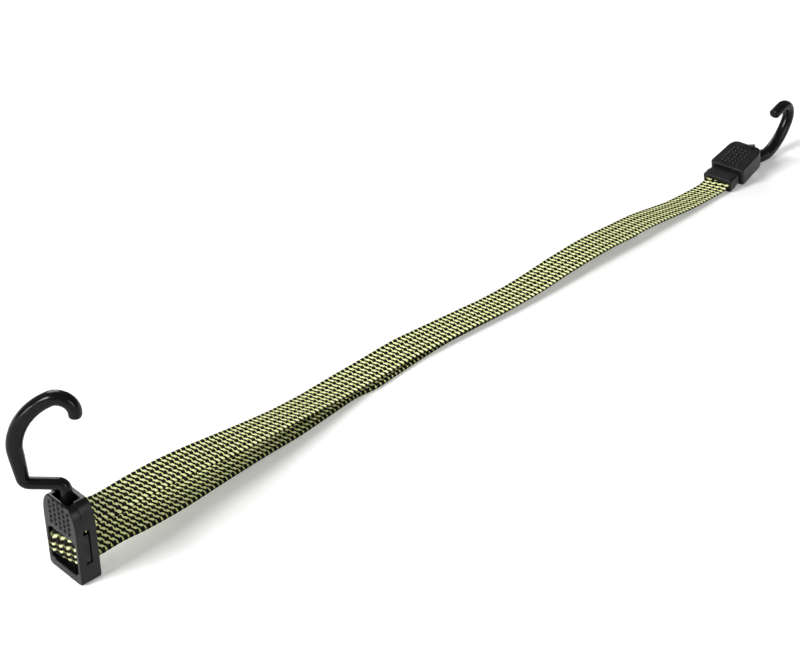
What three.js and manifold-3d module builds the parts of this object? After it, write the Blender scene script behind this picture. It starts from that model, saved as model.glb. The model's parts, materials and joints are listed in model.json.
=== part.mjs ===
// Adjustable flat bungee strap: an elastic webbing strap with a hook at each end.
// Millimetres, +Z up. The origin is the middle of the adjuster's base, and +X runs along the strap.
import * as THREE from 'three';
import { mergeVertices } from 'three/addons/utils/BufferGeometryUtils.js';
import Module from 'manifold-3d';

const wasm = await Module();
wasm.setup();

// Driving dimensions: the strap, and the room that pieces leave each other
const STRAP_WIDTH = 19;
const STRAP_THICKNESS = 2;
const STRAP_END_WIDTH = 17;        // gathered where the ferrule grips it
const STRAP_GATHER_LENGTH = 34;
const STRAP_EDGE_ROUND = 0.45;
const CLEARANCE = 0.3;

// Adjuster: two moulded shells that hold the lock bar and the hook's head
const WALL = 2.2;
const SIDE_ROOM = 0.8;             // beside the strap, inside the walls
const PLATE_THICKNESS = 1.5;       // the dotted front plate
const RAIL_HEIGHT = 4.5;
const SLOT_GAP = 4.2;              // open slot between the rail and the strap
const WINDOW_HEIGHT = 18.5;
const WINDOW_RADIUS = 3;
const SHOULDER_DROP = 7;            // the shoulders fall by this from the flat top to the sides
const CREASE = 7.5;                // where the flat top ends, out from the middle
const SHOULDER_SLOPE = 28;         // degrees, at the crease
const BASE_RADIUS = 2.5;
const CHAMBER_FLOOR = 1.2;         // between the strap's room and the hook's head
const THROAT_LENGTH = 2;           // the bore that keeps the head in
const POCKET_DEPTH = 4.1;
const POCKET_WIDTH = 12;
const RIDGE_THICKNESS = 2.5;
const RIDGE_RISE = 1;              // the back shell stands this far above the front plate

// Lock bar: a flat steel bar that the strap loops round, loose in its two slots
const BAR_THICKNESS = 2.5;
const BAR_HEIGHT = 15;
const BAR_TRAVEL = 2.5;
const BAR_END_RECESS = 0.8;

// Grip dots that stand on the plates
const DOT_RADIUS = 0.95;
const DOT_RISE = 0.35;
const DOT_CROWN = 0.55;            // share of a dot's radius at its top
const DOT_ROOT = 0.4;              // how far a dot reaches into its plate
const DOT_SIDES = 8;
const DOT_COLUMNS = 5;
const DOT_ROWS = 5;
const DOT_TOP_ROW = 3;
const DOT_PITCH_ACROSS = 3.45;
const DOT_PITCH_UP = 2.65;
const DOT_MARGIN = 3.6;            // from the window to the middle of the lowest row

// Hooks: moulded in one plane, with a head that turns in its shells
const STEM_RADIUS = 2.8;
// sections: depth in the hook's plane, and thickness across it
const HOOK_LEG = { depth: 5.4, thickness: 5.6 };
const HOOK_CROWN = { depth: 7.5, thickness: 7.3 };
const HOOK_TIP = { depth: 5.6, thickness: 6.4 };
const HOOK_SQUARENESS = 3;         // 2 is an ellipse
const HEAD_RADIUS = 4;
const HEAD_THICKNESS = 2;
const BEND_RADIUS = 3.7;
const SHOULDER_RADIUS = 20;
const SHOULDER_TURN = 20;
const HOOK_STEP = 3;
const HOOK_BEND_STEP = 20;
const HOOK_SIDES = 12;
// gap: from the fitting's end to the leg; turn: degrees round the stem from the leg's zero place
const ADJUSTER_HOOK = {
  gap: 3.3, leg: 11, bendTurn: 83.9, shank: 12.9, crown: 32.4, crownTurn: 49.5, curl: 7.3, tip: 2.3,
  turn: 43.8,
};
const FIXED_HOOK = {
  gap: 0.8, leg: 4.4, bendTurn: 72.3, shank: 12, crown: 28.4, crownTurn: 50.8, curl: 9.2, tip: 9.1,
  turn: 91.3,
};

// Fixed end: a ferrule on the strap, held between two clamp shells
const CLAMP_SIDE = 3.2;            // wall beside the folded strap at the clamp's wide end
const CLAMP_TAPER = 0.6;           // each side draws in by this at the hook's end
const CLAMP_WALL = 1.9;
const CLAMP_THROAT = 6.5;          // the bore that keeps the hook's head in
const CLAMP_CORNER = { along: 8.5, across: 5.2 };
const COLLAR_LENGTH = 6;
const COLLAR_STEP = 0.5;
const COLLAR_RISE = 1.3;
const COLLAR_CORNER = 2;
const NECK_LENGTH = 5;             // in view between the collar and the shells
const NECK_SIDE = 0.95;
const NECK_ROOF = 1.95;
const FLANGE_LENGTH = 1.6;
const FLANGE_RISE = 0.65;
const LEDGE = 2;                   // shell wall that the flange bears on
const PIN_RADIUS = 1.5;
const PIN_SEAT = 1;                // depth of the pin's seats in the side walls
const FOLD_RETURN = 3.5;           // the strap's sewn-back end
const TAB_WIDTH = 5;
const TAB_LENGTH = 2.4;
const TAB_RISE = 1.5;
const TAB_FLAT = 1.4;              // top of the tab, beside its slope
const TAB_OFFSET = -3;
const CLAMP_DOT_PITCH = 2.8;
const CLAMP_DOT_RADIUS = 0.8;
const CLAMP_DOT_RISE = 0.3;
const CLAMP_DOT_SHIFT = -1.3;      // the dots' middle, along from the shells' middle
const CLAMP_DOT_COLUMNS = 5;
const CLAMP_DOT_ROWS = 6;

// Where the fixed end lies: the middle of its mouth on the floor plan, and how it is turned.
// Its hook rests on the floor and props the clamp up at this pitch.
const MOUTH_X = 509.4;
const MOUTH_Y = 23.5;
const CLAMP_PITCH = 14.7;
const CLAMP_YAW = 3.4;

// Route of the strap's middle, from the adjuster: the upper run, with its roll in degrees at each place
// (its far edge up), and the tail under it
const RUN_ROUTE = [
  [20, -0.6, 26.5, 2], [34, 1.3, 25.6, 2], [54, 3.8, 23.8, 4], [74, 5.7, 21, 5.5], [93, 7.4, 17.8, 5.5],
  [113, 9.8, 14.6, 1], [135, 12.9, 11.1, -3.5], [158, 16.3, 7.8, -2.5], [181, 19.2, 5.8, 2],
  [205, 21.3, 4.8, 3.5], [229, 22.5, 4.8, 5], [251, 22.2, 4.4, 3.5], [275, 21.5, 4.2, 1], [300, 20.5, 4, 1],
  [325, 20.5, 4.7, 2], [355, 21.5, 6.7, 2], [385, 22.1, 7.9, 3], [410, 22.2, 7.3, 2], [430, 22.8, 6.5, 0],
  [450, 22.8, 4.8, -3.5], [468, 22.9, 3, -6], [484, 23.3, 2.3, -6], [495, 23.4, 2.3, -4],
];
const TAIL_ROUTE = [
  [20, 0.1, 10.2], [34, 0.2, 9.3], [54, 2, 7.8], [74, 5.3, 6.2], [94, 8.7, 4.6], [116, 11.8, 3.1],
  [137, 13.9, 2], [160, 17, 1.5], [182, 19.4, 1.4], [196, 18.6, 1.4], [210, 20, 1.4], [224, 21.4, 1.4],
  [238, 22.6, 1.4], [254, 23.6, 1.4], [275, 23.5, 1.4], [300, 22.9, 1.4], [330, 23.9, 1.4], [361, 26.7, 1.4],
  [390, 28.4, 1.4], [408, 28.5, 1.4], [423, 27.8, 1.4],
];
const STRAP_STEP = 9;
const EXIT_LEAD = 3;               // straight length where the strap leaves the adjuster
const MOUTH_LEAD = 5;              // and where it enters the ferrule

// Sizes that follow from the driving ones
const BODY_WIDTH = STRAP_WIDTH + 2 * (SIDE_ROOM + WALL);
const BODY_DEPTH = 2 * (PLATE_THICKNESS + 2 * CLEARANCE + STRAP_THICKNESS) + BAR_THICKNESS;
const FRONT = -BODY_DEPTH / 2;
const PARTING = -BAR_THICKNESS / 2; // the shells meet level with the bar's front face
const STRAP_OFFSET = CLEARANCE + STRAP_THICKNESS / 2;
const BAR_LOW = RAIL_HEIGHT + SLOT_GAP + STRAP_THICKNESS + CLEARANCE;
const BAR_TOP = BAR_LOW + BAR_HEIGHT;
const ROOM_TOP = BAR_TOP + STRAP_THICKNESS + BAR_TRAVEL + 2 * CLEARANCE;
const CHAMBER_LOW = ROOM_TOP + CHAMBER_FLOOR;
const CHAMBER_HEIGHT = HEAD_THICKNESS + 2 * CLEARANCE;
const POCKET_FLOOR = CHAMBER_LOW + CHAMBER_HEIGHT + THROAT_LENGTH;
const BODY_HEIGHT = POCKET_FLOOR + POCKET_DEPTH;
const STRAP_EXIT = BODY_DEPTH / 2 + 2 * CLEARANCE;
const FOLD_RADIUS = PIN_RADIUS + STRAP_OFFSET;
const FOLD_ROOM_WIDTH = STRAP_END_WIDTH + 2 * CLEARANCE;
const CLAMP_WIDTH = FOLD_ROOM_WIDTH + 2 * CLAMP_SIDE;
const CLAMP_HEIGHT = 2 * (FOLD_RADIUS + STRAP_THICKNESS / 2 + CLEARANCE + CLAMP_WALL);
const NECK_WIDTH = STRAP_END_WIDTH + 2 * (CLEARANCE + NECK_SIDE);
const NECK_HEIGHT = STRAP_THICKNESS + 2 * (CLEARANCE + NECK_ROOF);
const FLANGE_HEIGHT = NECK_HEIGHT + 2 * FLANGE_RISE;
const COLLAR_WIDTH = NECK_WIDTH + 2 * COLLAR_STEP;
const COLLAR_HEIGHT = NECK_HEIGHT + 2 * COLLAR_RISE;
const CLAMP_START = COLLAR_LENGTH + NECK_LENGTH;
const FLANGE_START = CLAMP_START + LEDGE + CLEARANCE;
const FERRULE_END = FLANGE_START + FLANGE_LENGTH;
const PIN_PLACE = FERRULE_END + CLEARANCE + FOLD_RETURN + FOLD_RADIUS;
const FOLD_ROOM_END = PIN_PLACE + FOLD_RADIUS + STRAP_THICKNESS / 2 + CLEARANCE;
const CLAMP_CHAMBER = FOLD_ROOM_END + CLAMP_WALL;
const CLAMP_END = CLAMP_CHAMBER + CHAMBER_HEIGHT + CLAMP_THROAT;
const MOUTH_Z = COLLAR_HEIGHT / 2 * Math.cos(THREE.MathUtils.degToRad(CLAMP_PITCH));

const plastic = new THREE.MeshStandardMaterial({ color: 0x1b1c1d, roughness: 0.5 });
const gloss = new THREE.MeshStandardMaterial({ color: 0x0e0f10, roughness: 0.25 });
const webbing = new THREE.MeshStandardMaterial({ color: 0x6f7a3c, roughness: 0.9 });
const steel = new THREE.MeshStandardMaterial({ color: 0x3a3c3e, roughness: 0.4, metalness: 0.8 });

// Facets of round shapes
const ROUND_SIDES = 24;
const PIN_SIDES = 16;
const CORNER_STEPS = 6;

// Solids and booleans
function toSolid(geometry) {
  const bare = geometry.index ? geometry.toNonIndexed() : geometry.clone();
  bare.deleteAttribute('normal');
  bare.deleteAttribute('uv');
  const merged = mergeVertices(bare, 1e-4);
  return new wasm.Manifold(new wasm.Mesh({
    numProp: 3,
    vertProperties: new Float32Array(merged.attributes.position.array),
    triVerts: new Uint32Array(merged.index.array),
  }));
}

function toGeometry(solid) {
  const mesh = solid.getMesh();
  const geometry = new THREE.BufferGeometry();
  geometry.setAttribute('position', new THREE.BufferAttribute(new Float32Array(mesh.vertProperties), 3));
  geometry.setIndex(new THREE.BufferAttribute(new Uint32Array(mesh.triVerts), 1));
  return geometry;
}

function cut(base, tools) {
  return tools.reduce((solid, tool) => solid.subtract(toSolid(tool)), toSolid(base));
}

function box(low, high) {
  const [a, b] = [new THREE.Vector3(...low), new THREE.Vector3(...high)];
  const size = b.clone().sub(a);
  const middle = a.add(b).multiplyScalar(0.5);
  return new THREE.BoxGeometry(size.x, size.y, size.z).translate(middle.x, middle.y, middle.z);
}

function upright(radius, low, high) {
  return new THREE.CylinderGeometry(radius, radius, high - low, ROUND_SIDES)
    .rotateX(Math.PI / 2).translate(0, 0, (low + high) / 2);
}

function extruded(shape, depth) {
  return new THREE.ExtrudeGeometry(shape, { depth, bevelEnabled: false, curveSegments: CORNER_STEPS });
}

// An outline drawn in (Y, Z), extruded along X
function slabAcross(shape, from, to) {
  const geometry = extruded(shape, to - from);
  const turn = new THREE.Matrix4().makeBasis(
    new THREE.Vector3(0, 1, 0), new THREE.Vector3(0, 0, 1), new THREE.Vector3(1, 0, 0));
  return geometry.applyMatrix4(turn).translate(from, 0, 0);
}

// A closed body through rings of equal count, with flat ends
function loft(rings) {
  const count = rings[0].length;
  const points = rings.flat();
  const faces = [];
  for (let r = 0; r + 1 < rings.length; r += 1) {
    for (let k = 0; k < count; k += 1) {
      const a = r * count + k;
      const b = r * count + (k + 1) % count;
      faces.push(a, b, b + count, a, b + count, a + count);
    }
  }
  const last = (rings.length - 1) * count;
  for (let k = 1; k + 1 < count; k += 1) {
    faces.push(0, k + 1, k, last, last + k, last + k + 1);
  }
  const geometry = new THREE.BufferGeometry().setFromPoints(points);
  geometry.setIndex(faces);
  return geometry;
}

// A rounded rectangle with straight sides, its middle at (x, y)
function roundedRectangle(width, height, radius, x = 0, y = 0) {
  const [w, h, r] = [width / 2, height / 2, radius];
  const shape = new THREE.Shape();
  shape.absarc(x + w - r, y - h + r, r, -Math.PI / 2, 0);
  shape.absarc(x + w - r, y + h - r, r, 0, Math.PI / 2);
  shape.absarc(x - w + r, y + h - r, r, Math.PI / 2, Math.PI);
  shape.absarc(x - w + r, y - h + r, r, Math.PI, Math.PI * 1.5);
  shape.closePath();
  return shape;
}

// Adjuster shells
function bodyOutline(height) {
  const half = BODY_WIDTH / 2;
  const corner = height - (half - CREASE) * Math.tan(THREE.MathUtils.degToRad(SHOULDER_SLOPE));
  const shape = new THREE.Shape();
  shape.absarc(half - BASE_RADIUS, BASE_RADIUS, BASE_RADIUS, -Math.PI / 2, 0);
  shape.lineTo(half, height - SHOULDER_DROP);
  shape.quadraticCurveTo(half, corner, CREASE, height);
  shape.lineTo(-CREASE, height);
  shape.quadraticCurveTo(-half, corner, -half, height - SHOULDER_DROP);
  shape.absarc(BASE_RADIUS - half, BASE_RADIUS, BASE_RADIUS, Math.PI, Math.PI * 1.5);
  shape.closePath();
  return shape;
}

// The rooms that both shells share: strap, bar slots, head chamber, throat and pocket
function bodyRooms() {
  const room = STRAP_WIDTH / 2 + SIDE_ROOM;
  const inner = -FRONT - PLATE_THICKNESS;
  const slot = BAR_THICKNESS / 2 + CLEARANCE;
  const slotTop = BAR_TOP + BAR_TRAVEL + CLEARANCE;
  const chamberTop = CHAMBER_LOW + CHAMBER_HEIGHT;
  const pocketBack = -FRONT - RIDGE_THICKNESS;
  return [
    box([-inner, -room, RAIL_HEIGHT], [BODY_DEPTH, room, ROOM_TOP]),
    box([-slot, -BODY_WIDTH, BAR_LOW - CLEARANCE], [slot, BODY_WIDTH, slotTop]),
    upright(HEAD_RADIUS + CLEARANCE, CHAMBER_LOW, chamberTop),
    upright(STEM_RADIUS + CLEARANCE, chamberTop - CLEARANCE, POCKET_FLOOR + CLEARANCE),
    box([-inner, -POCKET_WIDTH / 2, POCKET_FLOOR], [pocketBack, POCKET_WIDTH / 2, 2 * BODY_HEIGHT]),
  ];
}

// A low dot on the plane z = 0, standing up along +Z
function dot(radius, rise) {
  return new THREE.CylinderGeometry(radius * DOT_CROWN, radius, rise + DOT_ROOT, DOT_SIDES)
    .rotateX(Math.PI / 2).translate(0, 0, (rise - DOT_ROOT) / 2);
}

function raise(solid, dots) {
  return dots.reduce((whole, geometry) => whole.add(toSolid(geometry)), solid);
}

function dotColumns(count, pitch) {
  return Array.from({ length: count }, (_, k) => (k - (count - 1) / 2) * pitch);
}

function frontDots() {
  const dots = [];
  for (let row = 0; row <= DOT_ROWS; row += 1) {
    const count = row < DOT_ROWS ? DOT_COLUMNS : DOT_TOP_ROW;
    const height = RAIL_HEIGHT + WINDOW_HEIGHT + DOT_MARGIN + row * DOT_PITCH_UP;
    for (const across of dotColumns(count, DOT_PITCH_ACROSS)) {
      dots.push(dot(DOT_RADIUS, DOT_RISE).rotateY(-Math.PI / 2).translate(FRONT, across, height));
    }
  }
  return dots;
}

function frontShell() {
  const width = STRAP_WIDTH + 2 * SIDE_ROOM;
  const window = roundedRectangle(width, WINDOW_HEIGHT, WINDOW_RADIUS, 0, RAIL_HEIGHT + WINDOW_HEIGHT / 2);
  const base = slabAcross(bodyOutline(BODY_HEIGHT), FRONT, PARTING - CLEARANCE / 2);
  return raise(cut(base, [...bodyRooms(), slabAcross(window, 2 * FRONT, 0)]), frontDots());
}

function backShell() {
  const base = slabAcross(bodyOutline(BODY_HEIGHT + RIDGE_RISE), PARTING + CLEARANCE / 2, -FRONT);
  return cut(base, bodyRooms());
}

function lockBar() {
  const half = BODY_WIDTH / 2 - BAR_END_RECESS;
  return toSolid(box([-BAR_THICKNESS / 2, -half, BAR_LOW], [BAR_THICKNESS / 2, half, BAR_TOP]));
}

// Hook: its middle line is a chain of straights and bends, [length] or [radius, degrees]
function hookLine(stemLength, { leg, bendTurn, shank, crown, crownTurn, curl, tip }) {
  const curlTurn = 90 - bendTurn - SHOULDER_TURN - crownTurn + 180;
  const chain = [
    [stemLength - BEND_RADIUS], [BEND_RADIUS, 90], [leg], [BEND_RADIUS, -bendTurn], [shank],
    [SHOULDER_RADIUS, -SHOULDER_TURN], [crown, -crownTurn], [curl, -curlTurn], [tip],
  ];
  const line = [{ along: 0, out: 0, heading: 0, piece: 0 }];
  chain.forEach(([size, degrees = 0], piece) => {
    const turn = THREE.MathUtils.degToRad(degrees);
    const length = degrees ? size * Math.abs(turn) : size;
    const steps = Math.max(1, Math.ceil(Math.abs(degrees) / HOOK_BEND_STEP), Math.round(length / HOOK_STEP));
    const chord = degrees ? 2 * size * Math.sin(Math.abs(turn) / steps / 2) : length / steps;
    for (let k = 0; k < steps; k += 1) {
      const from = line[line.length - 1];
      const middle = from.heading + turn / steps / 2;
      line.push({
        along: from.along + chord * Math.sin(middle),
        out: from.out + chord * Math.cos(middle),
        heading: from.heading + turn / steps,
        piece,
      });
    }
  });
  return line;
}

// The hook's section at a place: slim leg, deep crown, slim tip
function hookSection(line, index) {
  const [shank, curl] = [4, 7];
  const first = line.findIndex((point) => point.piece === shank);
  const deepest = Math.round((first + line.findIndex((point) => point.piece === curl)) / 2);
  const grown = THREE.MathUtils.smoothstep(index, first, deepest);
  const drawnIn = THREE.MathUtils.smoothstep(index, deepest, line.length - 1);
  const size = (key) => HOOK_LEG[key] + (HOOK_CROWN[key] - HOOK_LEG[key]) * grown
    + (HOOK_TIP[key] - HOOK_CROWN[key]) * drawnIn;
  return [size('depth'), size('thickness'), HOOK_SQUARENESS];
}

// The hook stands on its head at (0, 0, 0), its stem along +Z and its leg along +X
function hook(stemLength, sizes) {
  const line = hookLine(stemLength - HEAD_THICKNESS, sizes);
  const swell = (value, squareness) => Math.sign(value) * Math.abs(value) ** (2 / squareness);
  const ring = (along, out, heading, depth, thickness, squareness) => Array.from(
    { length: HOOK_SIDES }, (_, k) => {
      const angle = k / HOOK_SIDES * 2 * Math.PI;
      const across = depth / 2 * swell(Math.cos(angle), squareness);
      return new THREE.Vector3(along + across * Math.cos(heading),
        thickness / 2 * swell(Math.sin(angle), squareness), out - across * Math.sin(heading));
    });
  const round = (radius) => [2 * radius, 2 * radius, 2];
  const rings = [0, HEAD_THICKNESS].map((out) => ring(0, out, 0, ...round(HEAD_RADIUS)));
  line.forEach((point, index) => {
    const section = point.piece < 1 ? round(STEM_RADIUS) : hookSection(line, index);
    rings.push(ring(point.along, point.out + HEAD_THICKNESS, point.heading, ...section));
  });
  return toSolid(loft(rings));
}

// Strap: a flat section with eased edges, swept along a line of places
function strapRing(place, across, up, width) {
  const [w, t, e] = [width / 2, STRAP_THICKNESS / 2, STRAP_EDGE_ROUND];
  const corners = [
    [w, e - t], [w, t - e], [w - e, t], [e - w, t], [-w, t - e], [-w, e - t], [e - w, -t], [w - e, -t],
  ];
  return corners.map(([a, b]) => place.clone().addScaledVector(across, a).addScaledVector(up, b));
}

// Sweep along points in one upright plane, the strap lying across it
function foldedStrap(points, width) {
  const across = new THREE.Vector3(0, 1, 0);
  return toSolid(loft(points.map(([x, z], k) => {
    const [ax, az] = points[Math.max(k - 1, 0)];
    const [bx, bz] = points[Math.min(k + 1, points.length - 1)];
    const tangent = new THREE.Vector3(bx - ax, 0, bz - az).normalize();
    return strapRing(new THREE.Vector3(x, 0, z), across, tangent.clone().cross(across), width);
  })));
}

function arc(x, z, radius, fromDegrees, toDegrees, steps) {
  return Array.from({ length: steps + 1 }, (_, k) => {
    const angle = THREE.MathUtils.degToRad(fromDegrees + (toDegrees - fromDegrees) * k / steps);
    return [x + radius * Math.cos(angle), z + radius * Math.sin(angle)];
  });
}

function strapLoop() {
  const edge = -BAR_THICKNESS / 2;
  return foldedStrap([
    [STRAP_EXIT, BAR_TOP + STRAP_OFFSET],
    ...arc(edge, BAR_TOP, STRAP_OFFSET, 90, 180, 4),
    ...arc(edge, BAR_LOW, STRAP_OFFSET, 180, 270, 4),
    [STRAP_EXIT, BAR_LOW - STRAP_OFFSET],
  ], STRAP_WIDTH);
}

function gatheredWidth(distanceFromEnd) {
  const share = THREE.MathUtils.smoothstep(distanceFromEnd, 0, STRAP_GATHER_LENGTH);
  return STRAP_END_WIDTH + (STRAP_WIDTH - STRAP_END_WIDTH) * share;
}

// A free stretch of strap along a smooth curve, rolled about it by the degrees at each place
function laidStrap(points, rolls, widthAt) {
  const curve = new THREE.CatmullRomCurve3(points, false, 'centripetal');
  const length = curve.getLength();
  const steps = Math.round(length / STRAP_STEP);
  return toSolid(loft(Array.from({ length: steps + 1 }, (_, k) => {
    const tangent = curve.getTangentAt(k / steps);
    const place = curve.getUtoTmapping(k / steps) * (points.length - 1);
    const before = Math.min(Math.floor(place), points.length - 2);
    const roll = THREE.MathUtils.lerp(rolls[before], rolls[before + 1], place - before);
    const across = new THREE.Vector3(-tangent.y, tangent.x, 0).normalize()
      .applyAxisAngle(tangent, THREE.MathUtils.degToRad(roll));
    const up = tangent.clone().cross(across);
    return strapRing(curve.getPointAt(k / steps), across, up, widthAt(length * (1 - k / steps)));
  })));
}

// Clamp: pieces drawn along +X from the mouth, then turned into place as a group
const clamp = new THREE.Group();
clamp.position.set(MOUTH_X, MOUTH_Y, MOUTH_Z);
clamp.rotation.order = 'ZYX';
clamp.rotation.z = THREE.MathUtils.degToRad(CLAMP_YAW);
clamp.rotation.y = -THREE.MathUtils.degToRad(CLAMP_PITCH);
clamp.updateMatrixWorld(true);

function clampPoint(along) {
  return new THREE.Vector3(along, 0, 0).applyMatrix4(clamp.matrixWorld);
}

// The first two places of a stretch that leaves the adjuster at this height
function exitPlaces(height) {
  return [CLEARANCE, EXIT_LEAD].map((x) => new THREE.Vector3(STRAP_EXIT + x, 0, height));
}

function strapMainRun() {
  const start = exitPlaces(BAR_TOP + STRAP_OFFSET);
  const end = [-MOUTH_LEAD, CLEARANCE].map(clampPoint);
  const route = RUN_ROUTE.map(([x, y, z]) => new THREE.Vector3(x, y, z));
  const rolls = [...start.map(() => 0), ...RUN_ROUTE.map(([, , , roll]) => roll), ...end.map(() => 0)];
  return laidStrap([...start, ...route, ...end], rolls, gatheredWidth);
}

function strapTail() {
  const route = TAIL_ROUTE.map((place) => new THREE.Vector3(...place));
  const points = [...exitPlaces(BAR_LOW - STRAP_OFFSET), ...route];
  return laidStrap(points, points.map(() => 0), () => STRAP_WIDTH);
}

function clampOutline() {
  const [near, far] = [CLAMP_WIDTH / 2, CLAMP_WIDTH / 2 - CLAMP_TAPER];
  const { along, across } = CLAMP_CORNER;
  const shape = new THREE.Shape();
  shape.moveTo(CLAMP_START, -near);
  shape.lineTo(CLAMP_END - along, -far);
  shape.quadraticCurveTo(CLAMP_END, -far, CLAMP_END, across - far);
  shape.lineTo(CLAMP_END, far - across);
  shape.quadraticCurveTo(CLAMP_END, far, CLAMP_END - along, far);
  shape.lineTo(CLAMP_START, near);
  shape.closePath();
  return shape;
}

function slabUp(shape, from, to) {
  return extruded(shape, to - from).translate(0, 0, from);
}

function alongClamp(radius, from, to) {
  return new THREE.CylinderGeometry(radius, radius, to - from, ROUND_SIDES)
    .rotateZ(Math.PI / 2).translate((from + to) / 2, 0, 0);
}

function crossPin(radius, half) {
  return new THREE.CylinderGeometry(radius, radius, 2 * half, PIN_SIDES).translate(PIN_PLACE, 0, 0);
}

// The rooms that both clamp shells share: ferrule, folded strap, pin, and the hook's head and stem
function clampRooms() {
  const roof = CLAMP_HEIGHT / 2 - CLAMP_WALL;
  const neck = [NECK_WIDTH / 2 + CLEARANCE, NECK_HEIGHT / 2 + CLEARANCE];
  const flange = FLANGE_HEIGHT / 2 + CLEARANCE;
  const fold = FOLD_ROOM_WIDTH / 2;
  const headEnd = CLAMP_CHAMBER + CHAMBER_HEIGHT;
  return [
    box([0, -neck[0], -neck[1]], [FERRULE_END + CLEARANCE, neck[0], neck[1]]),
    box([FLANGE_START - CLEARANCE, -neck[0], -flange], [FERRULE_END + CLEARANCE, neck[0], flange]),
    box([FERRULE_END, -fold, -roof], [FOLD_ROOM_END, fold, roof]),
    crossPin(PIN_RADIUS + CLEARANCE, fold + PIN_SEAT + CLEARANCE),
    alongClamp(HEAD_RADIUS + CLEARANCE, CLAMP_CHAMBER, headEnd),
    alongClamp(STEM_RADIUS + CLEARANCE, headEnd - CLEARANCE, CLAMP_END + COLLAR_LENGTH),
  ];
}

function clampDots() {
  const middle = (CLAMP_START + CLAMP_END) / 2 + CLAMP_DOT_SHIFT;
  const dots = [];
  for (const along of dotColumns(CLAMP_DOT_ROWS, CLAMP_DOT_PITCH)) {
    for (const across of dotColumns(CLAMP_DOT_COLUMNS, CLAMP_DOT_PITCH)) {
      dots.push(dot(CLAMP_DOT_RADIUS, CLAMP_DOT_RISE).translate(middle + along, across, CLAMP_HEIGHT / 2));
    }
  }
  return dots;
}

// A small wedge on the plate's edge at the hook's end
function clampTab() {
  const [near, far] = [TAB_OFFSET - TAB_WIDTH / 2, TAB_OFFSET + TAB_WIDTH / 2];
  const plate = CLAMP_HEIGHT / 2;
  const shape = new THREE.Shape();
  shape.moveTo(near, plate - TAB_RISE);
  shape.lineTo(far, plate - TAB_RISE);
  shape.lineTo(far, plate);
  shape.lineTo(near + TAB_FLAT, plate + TAB_RISE);
  shape.lineTo(near, plate + TAB_RISE);
  shape.closePath();
  return slabAcross(shape, CLAMP_END - TAB_LENGTH, CLAMP_END);
}

function clampTopShell() {
  const base = slabUp(clampOutline(), CLEARANCE / 2, CLAMP_HEIGHT / 2);
  return raise(cut(base, clampRooms()), [clampTab(), ...clampDots()]);
}

function clampBottomShell() {
  return cut(slabUp(clampOutline(), -CLAMP_HEIGHT / 2, -CLEARANCE / 2), clampRooms());
}

function ferrule() {
  const collar = slabAcross(roundedRectangle(COLLAR_WIDTH, COLLAR_HEIGHT, COLLAR_CORNER), 0, COLLAR_LENGTH);
  const neck = box([COLLAR_LENGTH / 2, -NECK_WIDTH / 2, -NECK_HEIGHT / 2],
    [FERRULE_END, NECK_WIDTH / 2, NECK_HEIGHT / 2]);
  const flange = box([FLANGE_START, -NECK_WIDTH / 2, -FLANGE_HEIGHT / 2],
    [FERRULE_END, NECK_WIDTH / 2, FLANGE_HEIGHT / 2]);
  const bore = [STRAP_END_WIDTH / 2 + CLEARANCE, STRAP_THICKNESS / 2 + CLEARANCE];
  const passage = box([-COLLAR_LENGTH, -bore[0], -bore[1]], [CLAMP_END, bore[0], bore[1]]);
  return toSolid(collar).add(toSolid(neck)).add(toSolid(flange)).subtract(toSolid(passage));
}

function anchorFold() {
  return foldedStrap([
    [PIN_PLACE - FOLD_RETURN, -FOLD_RADIUS],
    ...arc(PIN_PLACE, 0, FOLD_RADIUS, -90, 90, 8),
    [PIN_PLACE - FOLD_RADIUS, FOLD_RADIUS - CLEARANCE],
    [FERRULE_END + CLEARANCE, 0],
    [2 * CLEARANCE, 0],
  ], STRAP_END_WIDTH);
}

// The assembly
function piece(name, solid, material) {
  const mesh = new THREE.Mesh(toGeometry(solid), material);
  mesh.name = name;
  return mesh;
}

function adjusterHook() {
  const head = CHAMBER_LOW + CLEARANCE;
  const leg = BODY_HEIGHT + RIDGE_RISE + ADJUSTER_HOOK.gap + HOOK_LEG.depth / 2;
  const mesh = piece('adjuster_hook', hook(leg - head, ADJUSTER_HOOK), gloss);
  mesh.position.z = head;
  mesh.rotation.z = THREE.MathUtils.degToRad(90 + ADJUSTER_HOOK.turn);
  return mesh;
}

function fixedHook() {
  const head = CLAMP_CHAMBER + CLEARANCE;
  const leg = CLAMP_END + FIXED_HOOK.gap + HOOK_LEG.depth / 2;
  const mesh = piece('fixed_hook', hook(leg - head, FIXED_HOOK), gloss);
  const turn = THREE.MathUtils.degToRad(FIXED_HOOK.turn);
  const legWay = new THREE.Vector3(0, -Math.cos(turn), -Math.sin(turn));
  const stemWay = new THREE.Vector3(1, 0, 0);
  mesh.setRotationFromMatrix(new THREE.Matrix4().makeBasis(legWay, stemWay.clone().cross(legWay), stemWay));
  mesh.position.x = head;
  return mesh;
}

clamp.add(
  piece('clamp_top_shell', clampTopShell(), plastic),
  piece('clamp_bottom_shell', clampBottomShell(), plastic),
  piece('strap_ferrule', ferrule(), plastic),
  piece('anchor_pin', toSolid(crossPin(PIN_RADIUS, FOLD_ROOM_WIDTH / 2 + PIN_SEAT)), steel),
  piece('strap_anchor_fold', anchorFold(), webbing),
  fixedHook(),
);

const strap = new THREE.Group();
strap.add(
  piece('adjuster_front_shell', frontShell(), plastic),
  piece('adjuster_back_shell', backShell(), plastic),
  piece('lock_bar', lockBar(), steel),
  adjusterHook(),
  piece('strap_loop', strapLoop(), webbing),
  piece('strap_main_run', strapMainRun(), webbing),
  piece('strap_tail', strapTail(), webbing),
  clamp,
);

export default strap;
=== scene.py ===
"""Dresses the adjustable flat bungee strap: woven webbing, a moulded adjuster, a clamp and two hooks.

Shapes are written in millimetres in the CAD frame and scaled to metres where a mesh is made.
"""
import json
import math

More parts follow.
